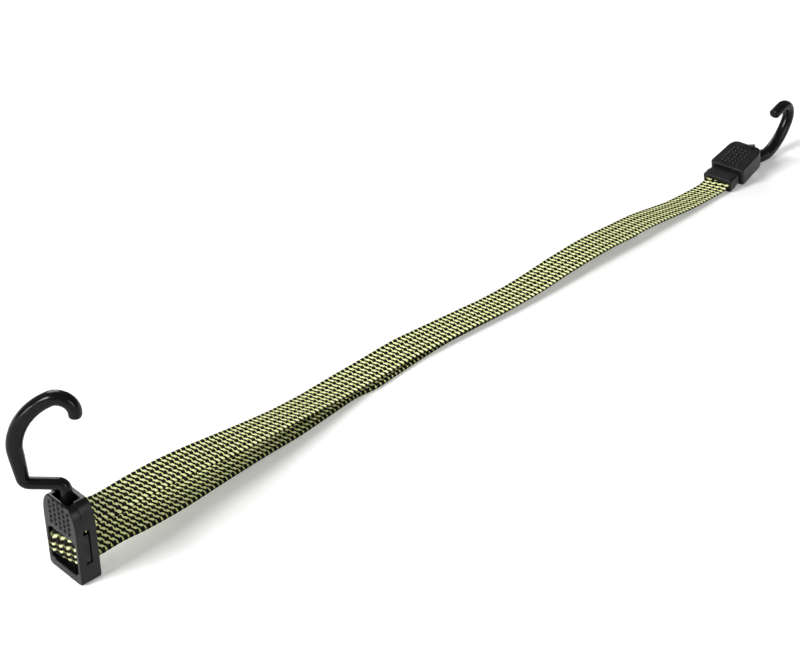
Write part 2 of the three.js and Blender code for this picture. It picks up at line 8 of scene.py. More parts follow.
import bmesh
import bpy
import numpy as np
from mathutils import Matrix, Vector

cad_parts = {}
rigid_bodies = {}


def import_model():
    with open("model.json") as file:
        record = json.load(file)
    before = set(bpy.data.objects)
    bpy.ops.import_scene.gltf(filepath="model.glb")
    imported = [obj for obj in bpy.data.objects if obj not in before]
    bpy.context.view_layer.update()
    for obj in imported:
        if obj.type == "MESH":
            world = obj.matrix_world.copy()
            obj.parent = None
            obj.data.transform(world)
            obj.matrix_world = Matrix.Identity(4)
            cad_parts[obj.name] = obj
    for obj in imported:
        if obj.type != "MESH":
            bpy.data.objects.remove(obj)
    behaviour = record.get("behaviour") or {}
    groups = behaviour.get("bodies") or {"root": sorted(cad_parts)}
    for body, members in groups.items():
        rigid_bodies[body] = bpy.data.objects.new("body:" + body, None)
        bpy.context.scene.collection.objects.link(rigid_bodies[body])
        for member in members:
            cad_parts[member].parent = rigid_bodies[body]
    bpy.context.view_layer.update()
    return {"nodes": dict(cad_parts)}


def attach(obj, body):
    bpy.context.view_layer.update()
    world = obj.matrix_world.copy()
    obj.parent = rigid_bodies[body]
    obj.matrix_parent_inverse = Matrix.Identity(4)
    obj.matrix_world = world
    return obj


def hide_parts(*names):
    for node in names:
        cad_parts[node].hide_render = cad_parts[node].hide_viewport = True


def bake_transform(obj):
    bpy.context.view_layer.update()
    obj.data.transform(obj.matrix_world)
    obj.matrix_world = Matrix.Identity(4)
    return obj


bl_info = {
    "name": "Flat bungee strap",
    "version": (1, 0, 0),
    "blender": (4, 5, 0),
    "location": "View3D > Sidebar > Bungee strap",
    "description": "Builds the webbing, adjuster, clamp and hooks of a flat bungee strap on its CAD frame",
    "category": "Object",
}

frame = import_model()

MM = 0.001

# Strap, as in the CAD source
STRAP_END_WIDTH = 17.0
STRAP_GATHER_LENGTH = 34.0
CLEARANCE = 0.3
RUN_ROUTE = [  # place, and roll in degrees with the far edge up
    (20, -0.6, 26.5, 2), (34, 1.3, 25.6, 2), (54, 3.8, 23.8, 4), (74, 5.7, 21, 5.5), (93, 7.4, 17.8, 5.5),
    (113, 9.8, 14.6, 1), (135, 12.9, 11.1, -3.5), (158, 16.3, 7.8, -2.5), (181, 19.2, 5.8, 2),
    (205, 21.3, 4.8, 3.5), (229, 22.5, 4.8, 5), (251, 22.2, 4.4, 3.5), (275, 21.5, 4.2, 1), (300, 20.5, 4, 1),
    (325, 20.5, 4.7, 2), (355, 21.5, 6.7, 2), (385, 22.1, 7.9, 3), (410, 22.2, 7.3, 2), (430, 22.8, 6.5, 0),
    (450, 22.8, 4.8, -3.5), (468, 22.9, 3, -6), (484, 23.3, 2.3, -6), (495, 23.4, 2.3, -4),
]
TAIL_ROUTE = [
    (20, 0.1, 10.2), (34, 0.2, 9.3), (54, 2, 7.8), (74, 5.3, 6.2), (94, 8.7, 4.6), (116, 11.8, 3.1),
    (137, 13.9, 2), (160, 17, 1.5), (182, 19.4, 1.4), (196, 18.6, 1.4), (210, 20, 1.4), (224, 21.4, 1.4),
    (238, 22.6, 1.4), (254, 23.6, 1.4), (275, 23.5, 1.4), (300, 22.9, 1.4), (330, 23.9, 1.4),
    (361, 26.7, 1.4), (390, 28.4, 1.4), (408, 28.5, 1.4), (423, 27.8, 1.4),
]
STRAP_EXIT = 5.95
EXIT_LEAD = 3.0
MOUTH_LEAD = 5.0
RUN_SPLIT = 0.5  # share of the main run that belongs to its near half

# Weave: rows of floats across the strap, and the points that draw each of them
ROWS = 8
POINTS_PER_ROW = 5
RINGS_PER_PICK = 8
THREADS_PER_ROW = 5
ROW_SHIFT = 0.375  # each row's floats start this share of a pick further back
ODD_ROW_SHIFT = 0.125  # and every second row's by this much more
EVEN_SLANT, ODD_SLANT = -0.22, 0.25  # how far the slivers between floats slant, in picks across a row
EVEN_SLIVER, ODD_SLIVER = 0.23, 0.46  # and their share of a pick
FLOAT_BLUR = 0.04  # softness of a float's ends
SLIVER_FLARE = 0.1  # the slivers widen by this towards the next row
CROWN_LIGHT_RISE = (0.1, 0.75)  # shares of a float between which its crown rises, and with it the painted highlight on the yarn
SELVEDGE = 0.35
SELVEDGE_POINTS = 5
SELVEDGE_HEIGHT = 0.5  # share of the strap's thickness
SELVEDGE_SLOPE = 0.6  # rows over which the faces fall to it
SELVEDGE_DARK = (0.98, 0.8)  # the selvedge darkens between these, from a face towards its middle; the loop's faces reach into this range as painted shade
SELVEDGE_DASH = (0.6, 0.76, 1.0, 0.38)  # and less on each float: from, to, and the two shares of dark
LOOP_BULGE = 2.2  # the loop stands out through the window by this at its middle
LOOP_TURN = 10.0  # and its far edge further, at this angle
LOOP_DROP, LOOP_GROWTH, LOOP_FADE = 2.0, 5.0, 6.0  # it starts below the window's top, grows and fades
LOOP_PAINTED_SHADE = 0.078  # its pale floats darken, as towards a selvedge: painted shade where the loop lies in the window

# Adjuster
BODY_HALF_WIDTH = 12.5
BODY_HALF_DEPTH = 5.35
BODY_HEIGHT = 41.0
RIDGE_RISE = 1.0
PARTING = -1.25
PARTING_GAP, PARTING_EDGE = 0.03, 0.06
SHOULDER_DROP = 13.0  # the shoulders fall by this from the flat top to the sides
CREASE, SHOULDER_SLOPE = 7.5, 28.0  # the flat top ends this far out, and falls away at this angle
CREASE_EASE = 0.6
BASE_RADIUS = 2.5
RAIL_HEIGHT = 4.5
WINDOW_TOP = 23.0
WINDOW_RADIUS = 3.0
ROOM_HALF_WIDTH = 10.3
ROOM_TOP = 31.1
PLATE_BACK = -3.85
BAR_LOW, BAR_TOP = 11.0, 26.0
BAR_HALF = 1.25
BAR_SLOT_TOP = 28.8
BAR_WRAP = 1.3  # from the bar's face to the strap's middle
CHAMBER_LOW, CHAMBER_TOP = 32.3, 34.9
CHAMBER_RADIUS = 4.3
THROAT_RADIUS = 3.1
POCKET_FLOOR = 36.9
POCKET_HALF_WIDTH = 6.0
POCKET_BACK = 2.85
DOT_RISE = 0.7
DOT_COLUMNS, DOT_ROWS, DOT_TOP_ROW = 5, 5, 3
DOT_PITCH_ACROSS, DOT_PITCH_UP = 3.45, 2.65
DOT_LOWEST, DOT_SIDES = 26.6, 24

# Hooks: straights are (length, 0) and bends are (radius, degrees)
STEM_RADIUS = 2.8
HOOK_LEG, HOOK_CROWN, HOOK_TIP = (5.4, 5.6), (7.5, 7.3), (6.1, 6.9)  # depth and thickness
HEAD_RADIUS, HEAD_THICKNESS = 4.0, 2.0
BEND_RADIUS = 2.9
SHOULDER_RADIUS, SHOULDER_TURN = 20.0, 20.0
ADJUSTER_HOOK = {"leg": 12.5, "bend_turn": 83.9, "shank": 13.6, "crown": 32.4, "crown_turn": 49.5,
                 "curl": 7.3, "tip": 2.3, "ledge": 0.0}
FIXED_HOOK = {"leg": 5.8, "bend_turn": 72.3, "shank": 12.6, "crown": 28.4, "crown_turn": 50.8,
              "curl": 9.2, "tip": 9.1, "ledge": 0.7}
ADJUSTER_HOOK_HEAD, ADJUSTER_HOOK_LEG, ADJUSTER_HOOK_TURN = 32.6, 48.0, 133.8
FIXED_HOOK_HEAD, FIXED_HOOK_LEG, FIXED_HOOK_TURN = 27.8, 40.1, 91.3
HOOK_SIDES = 48
HOOK_STEP = 0.6
HOOK_SQUARENESS = 2.3

# Clamp, drawn along +X from its mouth
MOUTH = (509.4, 23.5, 4.401)
CLAMP_PITCH, CLAMP_YAW = 14.7, 3.4
CLAMP_HALF_WIDTH = 12.0
CLAMP_TAPER = 0.6
CLAMP_CORNER, CLAMP_FRONT_CORNER = (8.5, 5.2), 2.0
CLAMP_TOP_RIM, CLAMP_BASE_RIM = 0.9, 1.3
CLAMP_HALF_HEIGHT = 6.0
CLAMP_START, CLAMP_END = 11.0, 36.6
NECK_HALF, NECK_CORNER = (9.75, 3.25), 0.5
COLLAR_HALF, COLLAR_CORNER = (10.25, 4.55), 2.0
COLLAR_LENGTH, COLLAR_RIMS = 5.8, (0.8, 0.6)
SHOULDER_HALF, SHOULDER_CORNER = (9.2, 3.3), 1.2  # the step between the collar and the clamp
FLANGE_START, FERRULE_END, FLANGE_HALF_HEIGHT = 13.3, 14.9, 3.9
BORE_HALF, BORE_CORNER, BORE_RIM = (8.8, 1.3), 0.4, 0.35
SHY = 0.01  # keeps the faces of two tools from lying in one plane
FOLD_ROOM = (14.9, 25.6, 8.8, 4.1)  # start, end, half width, half height
PIN_PLACE, FOLD_RADIUS, FOLD_RETURN = 21.5, 2.8, 3.5
PIN_ROOM = (1.8, 10.1)  # radius, half length
CLAMP_CHAMBER = (27.5, 30.1)  # start, end
TAB = (2.4, 5.0, -3.0, 1.5)  # length, width, offset, rise
CLAMP_DOT_PITCH, CLAMP_DOT_RISE, CLAMP_DOT_SIDES = 2.8, 0.65, 20
CLAMP_DOT_COLUMNS, CLAMP_DOT_ROWS, CLAMP_DOT_MIDDLE = 5, 6, 22.5

# Finishes: roughness, gloss, grains in a metre and the grain's depth
ADJUSTER_FINISH = (0.28, 0.26, 2600.0, 0.01)
HOOK_FINISH = (0.17, 0.15, 1500.0, 0.006)
CLAMP_FINISH = (0.32, 0.28, 1700.0, 0.025)
STEEL_EDGE = 0.3
CRISP_ANGLE = 38.0  # edges that turn by more stay sharp

# Camera: where the photograph was taken from, fitted to its straight edges
CAMERA_PLACE = (-306.0, -519.0, 490.0)
CAMERA_TURN = (58.16, 0.0, -44.48)
CAMERA_LENS, CAMERA_SENSOR = 75.71, 36.0

# Lamps, each with its place and its width in metres, and the floor
LAMPS = {
    "key": ((-2850, 500, 2050), 1.3),
    "fill": ((500, -2900, 1100), 1.6),
    "back": ((1200, 2350, 1450), 1.4),
    "edge": ((-2600, 600, 420), 0.7),
}
LAMP_AIM = (220, 20, 10)
FLOOR_REACH = 6.0  # in metres
FLOOR_NEAR, FLOOR_FAR = (0.7, 0.2), (2.4, 1.0)  # distance in metres, and the glow that the camera sees


# Settings
def length_setting(name, description, default):
    return bpy.props.FloatProperty(name=name, description=description, default=default, unit="LENGTH")


def colour_setting(name, description, default):
    return bpy.props.FloatVectorProperty(
        name=name, description=description, default=default, subtype="COLOR")


def light_setting(name, description, default):
    return bpy.props.FloatProperty(name=name, description=description, default=default)


class StrapSettings(bpy.types.PropertyGroup):
    """Sizes and colours of the webbing."""

    width: length_setting("Width", "Width of the webbing", 0.019)
    thickness: length_setting("Thickness", "Thickness over the crowns of the floats", 0.002)
    pick: length_setting("Pick", "Length of one repeat of the checks", 0.0031)
    groove: length_setting("Groove", "Depth between neighbouring floats", 0.0004)
    # Painted light: the lime yarn is the pale yarn in painted shade between the crowns, the lime crown its
    # painted highlight on them
    lime: colour_setting("Lime yarn, painted shade", "Colour of the pale yarn between crowns", (0.76, 0.82, 0.31))
    crown: colour_setting("Lime crown, painted highlight", "Colour of the pale yarn on its crowns", (0.96, 1.0, 0.58))
    black: colour_setting("Black yarn", "Colour of the dark yarn", (0.01, 0.0095, 0.009))


class PlasticSettings(bpy.types.PropertyGroup):
    """Edges, dots and colours of the mouldings and the steel."""

    edge: length_setting("Outer edge", "Radius of the adjuster's outer edges", 0.0006)
    lip: length_setting("Lip", "Radius of the window's edge", 0.0006)
    dot: length_setting("Dot radius", "Radius of the adjuster's grip dots", 0.00098)
    clamp_dot: length_setting("Clamp dot radius", "Radius of the clamp's grip dots", 0.00095)
    adjuster: colour_setting("Adjuster", "Colour of the adjuster's plastic", (0.004, 0.004, 0.0042))
    clamp: colour_setting("Clamp", "Colour of the clamp's plastic", (0.006, 0.006, 0.0063))
    hook: colour_setting("Hook", "Colour of the hooks' plastic", (0.004, 0.004, 0.0043))
    steel: colour_setting("Steel", "Colour of the bar and the pin", (0.03, 0.03, 0.032))


class StageSettings(bpy.types.PropertyGroup):
    """Floor and light."""

    floor: colour_setting("Floor", "Colour of the floor", (0.90, 0.90, 0.90))
    sky: light_setting("Sky", "Strength of the even light from all round", 0.2)
    key: light_setting("Key", "Power of the soft lamp on the left, in watts", 164.0)
    fill: light_setting("Fill", "Power of the low soft lamp on the right, in watts", 40.0)
    back: light_setting("Back", "Power of the soft lamp behind, in watts", 36.0)
    edge: light_setting("Edge", "Power of the low lamp on the far left, in watts", 20.0)


# Nodes
class Nodes:
    """Adds nodes to a tree and joins them up."""

    def __init__(self, tree):
        self.tree = tree

    def add(self, kind, inputs=None, **settings):
        node = self.tree.nodes.new(kind)
        for name, value in settings.items():
            setattr(node, name, value)
        for socket, value in (inputs or {}).items():
            self.feed(node.inputs[socket], value)
        return node

    def feed(self, socket, value):
        if isinstance(value, bpy.types.NodeSocket):
            self.tree.links.new(value, socket)
        else:
            socket.default_value = value

    def math(self, operation, *values):
        node = self.add("ShaderNodeMath", operation=operation)
        for socket, value in zip(node.inputs, values):
            self.feed(socket, value)
        return node.outputs[0]

    def from_middle(self, share):
        """0 in the middle of a share from 0 to 1, and 1 at its ends."""
        return self.math("MULTIPLY", self.math("ABSOLUTE", self.math("SUBTRACT", share, 0.5)), 2.0)

    def ramp(self, value, low, high, to_low=0.0, to_high=1.0):
        """Smooth step of a value from one range to another."""
        node = self.add("ShaderNodeMapRange", {
            "Value": value, "From Min": low, "From Max": high, "To Min": to_low, "To Max": to_high,
        }, interpolation_type="SMOOTHSTEP")
        return node.outputs[0]

    def mix(self, share, first, second):
        node = self.add("ShaderNodeMix", data_type="RGBA")
        colours = [socket for socket in node.inputs if socket.type == "RGBA"]
        self.feed(node.inputs["Factor"], share)
        self.feed(colours[0], first)
        self.feed(colours[1], second)
        return next(socket for socket in node.outputs if socket.type == "RGBA")


def new_group(name, inputs, outputs):
    """An empty shader group with float sockets, or vector ones where the name ends in Place."""
    group = bpy.data.node_groups.new(name, "ShaderNodeTree")
    for in_out, sockets in (("INPUT", inputs), ("OUTPUT", outputs)):
        for socket in sockets:
            kind = "NodeSocketVector" if socket.endswith("Place") else "NodeSocketFloat"
            group.interface.new_socket(socket, in_out=in_out, socket_type=kind)
    nodes = Nodes(group)
    return nodes, nodes.add("NodeGroupInput"), nodes.add("NodeGroupOutput")


def check_weave_group(name):
    """Pale and dark floats in staggered rows, and the crown and threads of each float; the crown paints light
    and shade into the yarn's colour.
    """
    nodes, given, out = new_group(name, ["Weave Place"], ["Pale", "Crown", "Thread"])
    calc = nodes.math
    along, across, face = nodes.add("ShaderNodeSeparateXYZ", {"Vector": given.outputs[0]}).outputs
    row = calc("MINIMUM", calc("FLOOR", across), ROWS - 1.0)
    share = calc("SUBTRACT", across, row)
    flare = calc("POWER", nodes.from_middle(share), 4.0)
    row = calc("ADD", row, calc("GREATER_THAN", face, 0.5))
    odd = calc("MODULO", row, 2.0)
    straight = calc("MULTIPLY_ADD", odd, ODD_ROW_SHIFT, calc("MULTIPLY_ADD", row, ROW_SHIFT, along))
    slant = calc("MULTIPLY_ADD", odd, ODD_SLANT - EVEN_SLANT, EVEN_SLANT)
    slanted = calc("SUBTRACT", straight, calc("MULTIPLY", slant, calc("SUBTRACT", share, 0.5)))
    float_share = nodes.from_middle(calc("FRACT", slanted))
    sliver = calc("MULTIPLY_ADD", odd, ODD_SLIVER - EVEN_SLIVER, EVEN_SLIVER)
    edge = calc("MULTIPLY_ADD", flare, SLIVER_FLARE, sliver)
    in_float = nodes.ramp(calc("SUBTRACT", float_share, edge), -FLOAT_BLUR, FLOAT_BLUR)
    dark = calc("ABSOLUTE", calc("SUBTRACT", in_float, odd))
    # Dark selvedge yarn with lime dashes; faces kept in from 0 and 1, as on the loop, darken here as painted
    # shade
    selvedge = nodes.ramp(nodes.from_middle(face), *SELVEDGE_DARK)
    dash = nodes.ramp(float_share, *SELVEDGE_DASH)
    dark = calc("MAXIMUM", dark, calc("MULTIPLY", selvedge, dash))
    # Crown mask: high on a float's middle, low at its ends and the row's edges; it paints highlight and shade
    # into the colour
    crown = calc("MULTIPLY", calc("SUBTRACT", 1.0, flare), nodes.ramp(float_share, *CROWN_LIGHT_RISE))
    thread = calc("SINE", calc("MULTIPLY", across, THREADS_PER_ROW * 2 * math.pi))
    for output, value in (("Pale", calc("SUBTRACT", 1.0, dark)), ("Crown", crown), ("Thread", thread)):
        nodes.feed(out.inputs[output], value)
    return nodes.tree


def moulded_grain_group(name):
    """Fine grain and broad cloudiness of moulded plastic."""
    nodes, given, out = new_group(name, ["Grain Scale", "Cloud Scale"], ["Grain", "Cloud"])
    place = nodes.add("ShaderNodeTexCoord").outputs["Object"]
    for output, detail in (("Grain", 2.0), ("Cloud", 3.0)):
        noise = nodes.add("ShaderNodeTexNoise", {
            "Vector": place, "Scale": given.outputs[f"{output} Scale"], "Detail": detail, "Roughness": 0.55})
        nodes.feed(out.inputs[output], noise.outputs["Fac"])
    return nodes.tree


def shared(kept, name, make, *given):
    """The material or group of that name, made the first time."""
    return kept.get(name) or make(name, *given)


def grain_outputs(nodes, grain_scale, cloud_scale):
    tree = shared(bpy.data.node_groups, "moulded_grain", moulded_grain_group)
    scales = {"Grain Scale": grain_scale, "Cloud Scale": cloud_scale}
    return nodes.add("ShaderNodeGroup", scales, node_tree=tree).outputs


def new_material(name):
    material = bpy.data.materials.new(name)
    material.use_nodes = True
    material.node_tree.nodes.clear()
    return material, Nodes(material.node_tree)


def surface(nodes, inputs):
    shader = nodes.add("ShaderNodeBsdfPrincipled", inputs)
    nodes.add("ShaderNodeOutputMaterial", {"Surface": shader.outputs[0]})


def opaque(colour, factor=1.0):
    return (*(channel * factor for channel in colour), 1.0)


def webbing_material(name, settings):
    """Elastic webbing: pale and dark yarn by the woven checks, with painted shade between the floats and a
    painted highlight on their crowns.
    """
    material, nodes = new_material(name)
    place = nodes.add("ShaderNodeAttribute", attribute_name="weave").outputs["Vector"]
    tree = shared(bpy.data.node_groups, "check_weave", check_weave_group)
    weave = nodes.add("ShaderNodeGroup", {"Weave Place": place}, node_tree=tree).outputs
    noise = nodes.add("ShaderNodeTexNoise", {"Vector": place, "Scale": 0.9, "Detail": 3.0}).outputs["Fac"]
    # Random tone, and painted light from the crown mask: painted highlight on the crowns, painted shade in
    # the grooves
    tone_and_painted_light = nodes.math("MULTIPLY_ADD", noise, 0.25, nodes.math("MULTIPLY", weave["Crown"], 0.75))
    pale = nodes.mix(tone_and_painted_light, opaque(settings.lime), opaque(settings.crown))
    # The dark yarn too is painted darker in the grooves and lighter on the crowns
    dark = nodes.mix(tone_and_painted_light, opaque(settings.black, 0.3), opaque(settings.black, 0.9))
    bump = nodes.add("ShaderNodeBump", {"Strength": 0.35, "Distance": 0.06 * MM, "Height": weave["Thread"]})
    surface(nodes, {
        "Base Color": nodes.mix(weave["Pale"], dark, pale),
        "Roughness": nodes.ramp(weave["Crown"], 0.0, 1.0, 0.95, 0.72),
        "Normal": bump.outputs[0],
        "Specular IOR Level": 0.08,
    })
    return material


def plastic_material(name, colour, finish):
    """Moulded plastic: fine grain in the bump, slow change in tone and gloss."""
    rough, gloss, grain_scale, grain_depth = finish
    material, nodes = new_material(name)
    grain = grain_outputs(nodes, grain_scale, 90.0)
    tone = nodes.ramp(grain["Cloud"], 0.3, 0.7)
    bump = nodes.add("ShaderNodeBump", {
        "Strength": 0.5, "Distance": grain_depth * MM, "Height": grain["Grain"]})
    surface(nodes, {
        "Base Color": nodes.mix(tone, opaque(colour, 0.85), opaque(colour, 1.15)),
        "Roughness": nodes.ramp(grain["Cloud"], 0.25, 0.75, rough - 0.05, rough + 0.05),
        "Normal": bump.outputs[0],
        "Specular IOR Level": gloss,
    })
    return material


def steel_material(name, colour):
    """Blackened steel, uneven in tone and sheen."""
    material, nodes = new_material(name)
    grain = grain_outputs(nodes, 1800.0, 140.0)
    tone = nodes.ramp(grain["Cloud"], 0.3, 0.7)
    surface(nodes, {
        "Base Color": nodes.mix(tone, opaque(colour, 0.7), opaque(colour, 1.3)),
        "Roughness": nodes.ramp(grain["Grain"], 0.2, 0.8, 0.38, 0.55),
        "Metallic": 0.9,
    })
    return material


def webbing(settings):
    return shared(bpy.data.materials, "woven_webbing", webbing_material, settings)


def plastic(name, colour, finish):
    return shared(bpy.data.materials, name, plastic_material, colour, finish)


# Meshes
def linked(name, data):
    """A new object in the scene."""
    new = bpy.data.objects.new(name, data)
    bpy.context.scene.collection.objects.link(new)
    return new


def show(name, mesh, material, node, body=None):
    """A dressed piece in place of a CAD node, with smooth faces and crisp edges."""
    mesh.name = name
    mesh.materials.clear()
    mesh.materials.append(material)
    piece = linked(name, mesh)
    mesh.shade_smooth()
    mesh.set_sharp_from_angle(angle=math.radians(CRISP_ANGLE))
    if body:
        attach(piece, body)
    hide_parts(node)
    return piece


def mesh_from(points, faces):
    """A mesh in metres from points in millimetres."""
    mesh = bpy.data.meshes.new("mesh")
    mesh.from_pydata((np.asarray(points, float) * MM).tolist(), [], faces)
    mesh.update()
    return mesh


def tube_faces(rings, sides):
    """Quads between rings of points, and a face on each end."""
    start = np.arange(rings - 1)[:, None] * sides
    side = np.arange(sides)
    after = (side + 1) % sides
    quads = np.stack([start + side, start + after, start + sides + after, start + sides + side], axis=-1)
    ends = [list(range(sides))[::-1], list(range((rings - 1) * sides, rings * sides))]
    return quads.reshape(-1, 4).tolist() + ends


def lofted(rings):
    """A closed body through rings of points, facing outwards."""
    rings = np.asarray(rings, float)
    mesh = mesh_from(rings.reshape(-1, 3), tube_faces(*rings.shape[:2]))
    work = bmesh.new()
    work.from_mesh(mesh)
    bmesh.ops.recalc_face_normals(work, faces=work.faces)
    work.to_mesh(mesh)
    work.free()
    return mesh


def sweep(start, end, steps):
    """Angles from start to end, given in degrees."""
    return np.radians(np.linspace(start, end, steps + 1))


def rounded_outline(low, high, radius, steps=10):
    """Anticlockwise outline of a box from low to high with rounded corners, from the lower right one."""
    (left, base), (right, top) = np.add(low, radius), np.subtract(high, radius)
    outline = []
    for x, y, start in ((right, base, -90), (right, top, 0), (left, top, 90), (left, base, 180)):
        turn = sweep(start, start + 90, steps)
        outline.extend(zip(x + radius * np.cos(turn), y + radius * np.sin(turn)))
    return outline


def centred_outline(half, radius, steps):
    return rounded_outline((-half[0], -half[1]), half, radius, steps)


def bent(start, corner, end, steps=8):
    """Points of a smooth bend from start to end that would meet at the corner."""
    share = np.linspace(0, 1, steps + 1)
    weights = np.column_stack([(1 - share) ** 2, 2 * share * (1 - share), share ** 2])
    return [tuple(point) for point in weights @ np.array([start, corner, end], float)]


def lip(radius, depth, steps=4):
    """Offsets of an edge rounded to a radius, from outside the face to below it, as (depth, offset)."""
    flare = 1.25
    turn = sweep(0, 90, steps)
    return [(-depth, radius * flare), *zip(radius * (1 - np.cos(turn)), radius * (1 - np.sin(turn)))]


def dome(radius, rise, steps=6):
    """Heights and radii of a dot, from its root in the plate to its top."""
    root, foot, crest = 0.4, 6, 82
    turn = sweep(foot, crest, steps)
    return [(-root, radius), *zip(rise * np.sin(turn), radius * np.cos(turn))]


def place_ring(outline, height, axis):
    """An outline at a height on an axis: its two numbers are on the next two axes in turn."""
    ring = np.column_stack([outline, np.full(len(outline), height)])
    return np.roll(ring, "ZXY".index(axis), axis=1)


def eased_prism(outline, low, high, axis, edges, smoothness=4):
    """An extruded outline whose low and high rims are rounded to the two radii in edges."""
    prism = lofted([place_ring(outline, low, axis), place_ring(outline, high, axis)])
    mesh = bmesh.new()
    mesh.from_mesh(prism)
    number, tolerance = "XYZ".index(axis), 1e-7
    for height, radius in zip((low, high), edges):
        rim = [e for e in mesh.edges if all(abs(v.co[number] - height * MM) < tolerance for v in e.verts)]
        if radius:
            bmesh.ops.bevel(mesh, geom=rim, offset=radius * MM, segments=smoothness, profile=0.5,
                            affect="EDGES", clamp_overlap=False)
    mesh.to_mesh(prism)
    mesh.free()
    return prism


def box(low, high):
    outline = [(low[0], low[1]), (high[0], low[1]), (high[0], high[1]), (low[0], high[1])]
    return lofted([place_ring(outline, low[2], "Z"), place_ring(outline, high[2], "Z")])


def round_body(axis, middle, profile, sides=28):
    """A turned body: profile is (height on the axis, radius), middle is on the next two axes in turn."""
    circle = [(math.cos(turn), math.sin(turn)) for turn in sweep(0, 360, sides)[:-1]]
    return lofted([place_ring(np.add(middle, np.multiply(circle, radius)), height, axis)
                   for height, radius in profile])


def rod(axis, middle, low, high, radius):
    return round_body(axis, middle, [(low, radius), (high, radius)])


def centred(count, pitch):
    """Even places about 0."""
    return [(k - (count - 1) / 2) * pitch for k in range(count)]


def grip_dots(axis, face, places, radius, rise, sides):
    """Domes that stand out of a face at a height on the axis."""
    outward = math.copysign(1, face)
    profile = [(face + outward * height, r) for height, r in dome(radius, rise)]
    return [round_body(axis, place, profile, sides) for place in places]


def eased_hole(low, high, corner, axis, stations, steps=10):
    """A tool for a rounded hole: stations are (height on the axis, how much wider the hole is there)."""
    return lofted([
        place_ring(rounded_outline(np.subtract(low, offset), np.add(high, offset), corner + offset, steps),
                   height, axis)
        for height, offset in stations])


def combined(base, tools, operation="DIFFERENCE"):
    """The base mesh after an exact boolean with each of the tools."""
    work = linked("work", base)
    group = bpy.data.collections.new("tools")
    bpy.context.scene.collection.children.link(group)
    for mesh in tools:
        group.objects.link(bpy.data.objects.new("tool", mesh))
    modifier = work.modifiers.new("cut", "BOOLEAN")
    modifier.operation = operation
    modifier.operand_type = "COLLECTION"
    modifier.collection = group
    modifier.solver = "EXACT"
    bpy.context.view_layer.update()
    result = bpy.data.meshes.new_from_object(work.evaluated_get(bpy.context.evaluated_depsgraph_get()))
    for tool in list(group.objects):
        bpy.data.objects.remove(tool)
    bpy.data.collections.remove(group)
    bpy.data.objects.remove(work)
    if len(result.polygons) < len(base.polygons):
        raise RuntimeError("a boolean lost its base")
    return result


def weigh_normals(piece):
    """Large flat faces keep their own normal beside rounded edges."""
    modifier = piece.modifiers.new("flat faces", "WEIGHTED_NORMAL")
    modifier.keep_sharp = True
    modifier.weight = 80


def turned(mesh, matrix):
    mesh.transform(matrix)
    return mesh


def clamp_matrix():
    return (Matrix.Translation(Vector(MOUTH) * MM)
            @ Matrix.Rotation(math.radians(CLAMP_YAW), 4, "Z")
            @ Matrix.Rotation(math.radians(-CLAMP_PITCH), 4, "Y"))


def clamp_point(along):
    return tuple(clamp_matrix() @ Vector((along * MM, 0, 0)) / MM)


# Strap
def eased(share):
    share = np.clip(share, 0, 1)
    return share * share * (3 - 2 * share)


def smooth_route(places, samples=40):
    """Points on a centripetal spline through the places, with the roll in between."""
    p = np.array([(*place, 0.0)[:4] for place in places], float)
    rolls = p[:, 3]
    p = np.vstack([2 * p[0] - p[1], p, 2 * p[-1] - p[-2]])[:, :3]
    t = np.linspace(0, 1, samples, endpoint=False)[:, None]
    curve = []
    for a, b, c, d in zip(p, p[1:], p[2:], p[3:]):
        before, here, after = (np.linalg.norm(step) ** 0.5 for step in (b - a, c - b, d - c))
        leave = ((b - a) / before - (c - a) / (before + here) + (c - b) / here) * here
        arrive = ((c - b) / here - (d - b) / (here + after) + (d - c) / after) * here
        curve.append(b + leave * t + (3 * (c - b) - 2 * leave - arrive) * t ** 2
                     + (2 * (b - c) + leave + arrive) * t ** 3)
    curve = np.vstack([*curve, p[-2]])
    place = np.arange(len(curve)) / samples
    return np.column_stack([curve, np.interp(place, np.arange(len(rolls)), rolls)])


def evenly(points, step):
    """The same line in even steps, with the distance along it."""
    points = np.array([(*point, 0.0)[:4] for point in points], float)
    steps = np.linalg.norm(np.diff(points[:, :3], axis=0), axis=1)
    travelled = np.concatenate([[0], np.cumsum(steps)])
    along = np.linspace(0, travelled[-1], max(2, round(travelled[-1] / step) + 1))
    return along, np.column_stack([np.interp(along, travelled, column) for column in points.T])


def arc(middle, radius, start, end, steps=12):
    """Points of an arc in the upright plane along the strap."""
    return [(middle[0] + radius * math.cos(turn), 0, middle[1] + radius * math.sin(turn))
            for turn in sweep(start, end, steps)]


def float_height(along, across, under):
    """Height of a face of the webbing, from 0 in the grooves to 1 on the crowns; under is 0 or 1."""
    row = np.minimum(np.floor(across), ROWS - 1)
    place = across - row - 0.5
    row = row + under
    odd = row % 2
    phase = along + ROW_SHIFT * row + ODD_ROW_SHIFT * odd - np.where(odd, ODD_SLANT, EVEN_SLANT) * place
    float_share = 2 * np.abs(phase - np.floor(phase) - 0.5)
    side = 2 * np.abs(place)
    return (1 - side ** 4) * (0.35 + 0.65 * np.clip((float_share - 0.1) / 0.5, 0, 1) ** 0.7)


def level_across(tangent, rolls):
    """Directions across a line, level apart from its rolls."""
    level = np.column_stack([-tangent[:, 1], tangent[:, 0], np.zeros(len(tangent))])
    level /= np.linalg.norm(level, axis=1)[:, None]
    return level * np.cos(rolls) + np.cross(tangent, level) * np.sin(rolls)


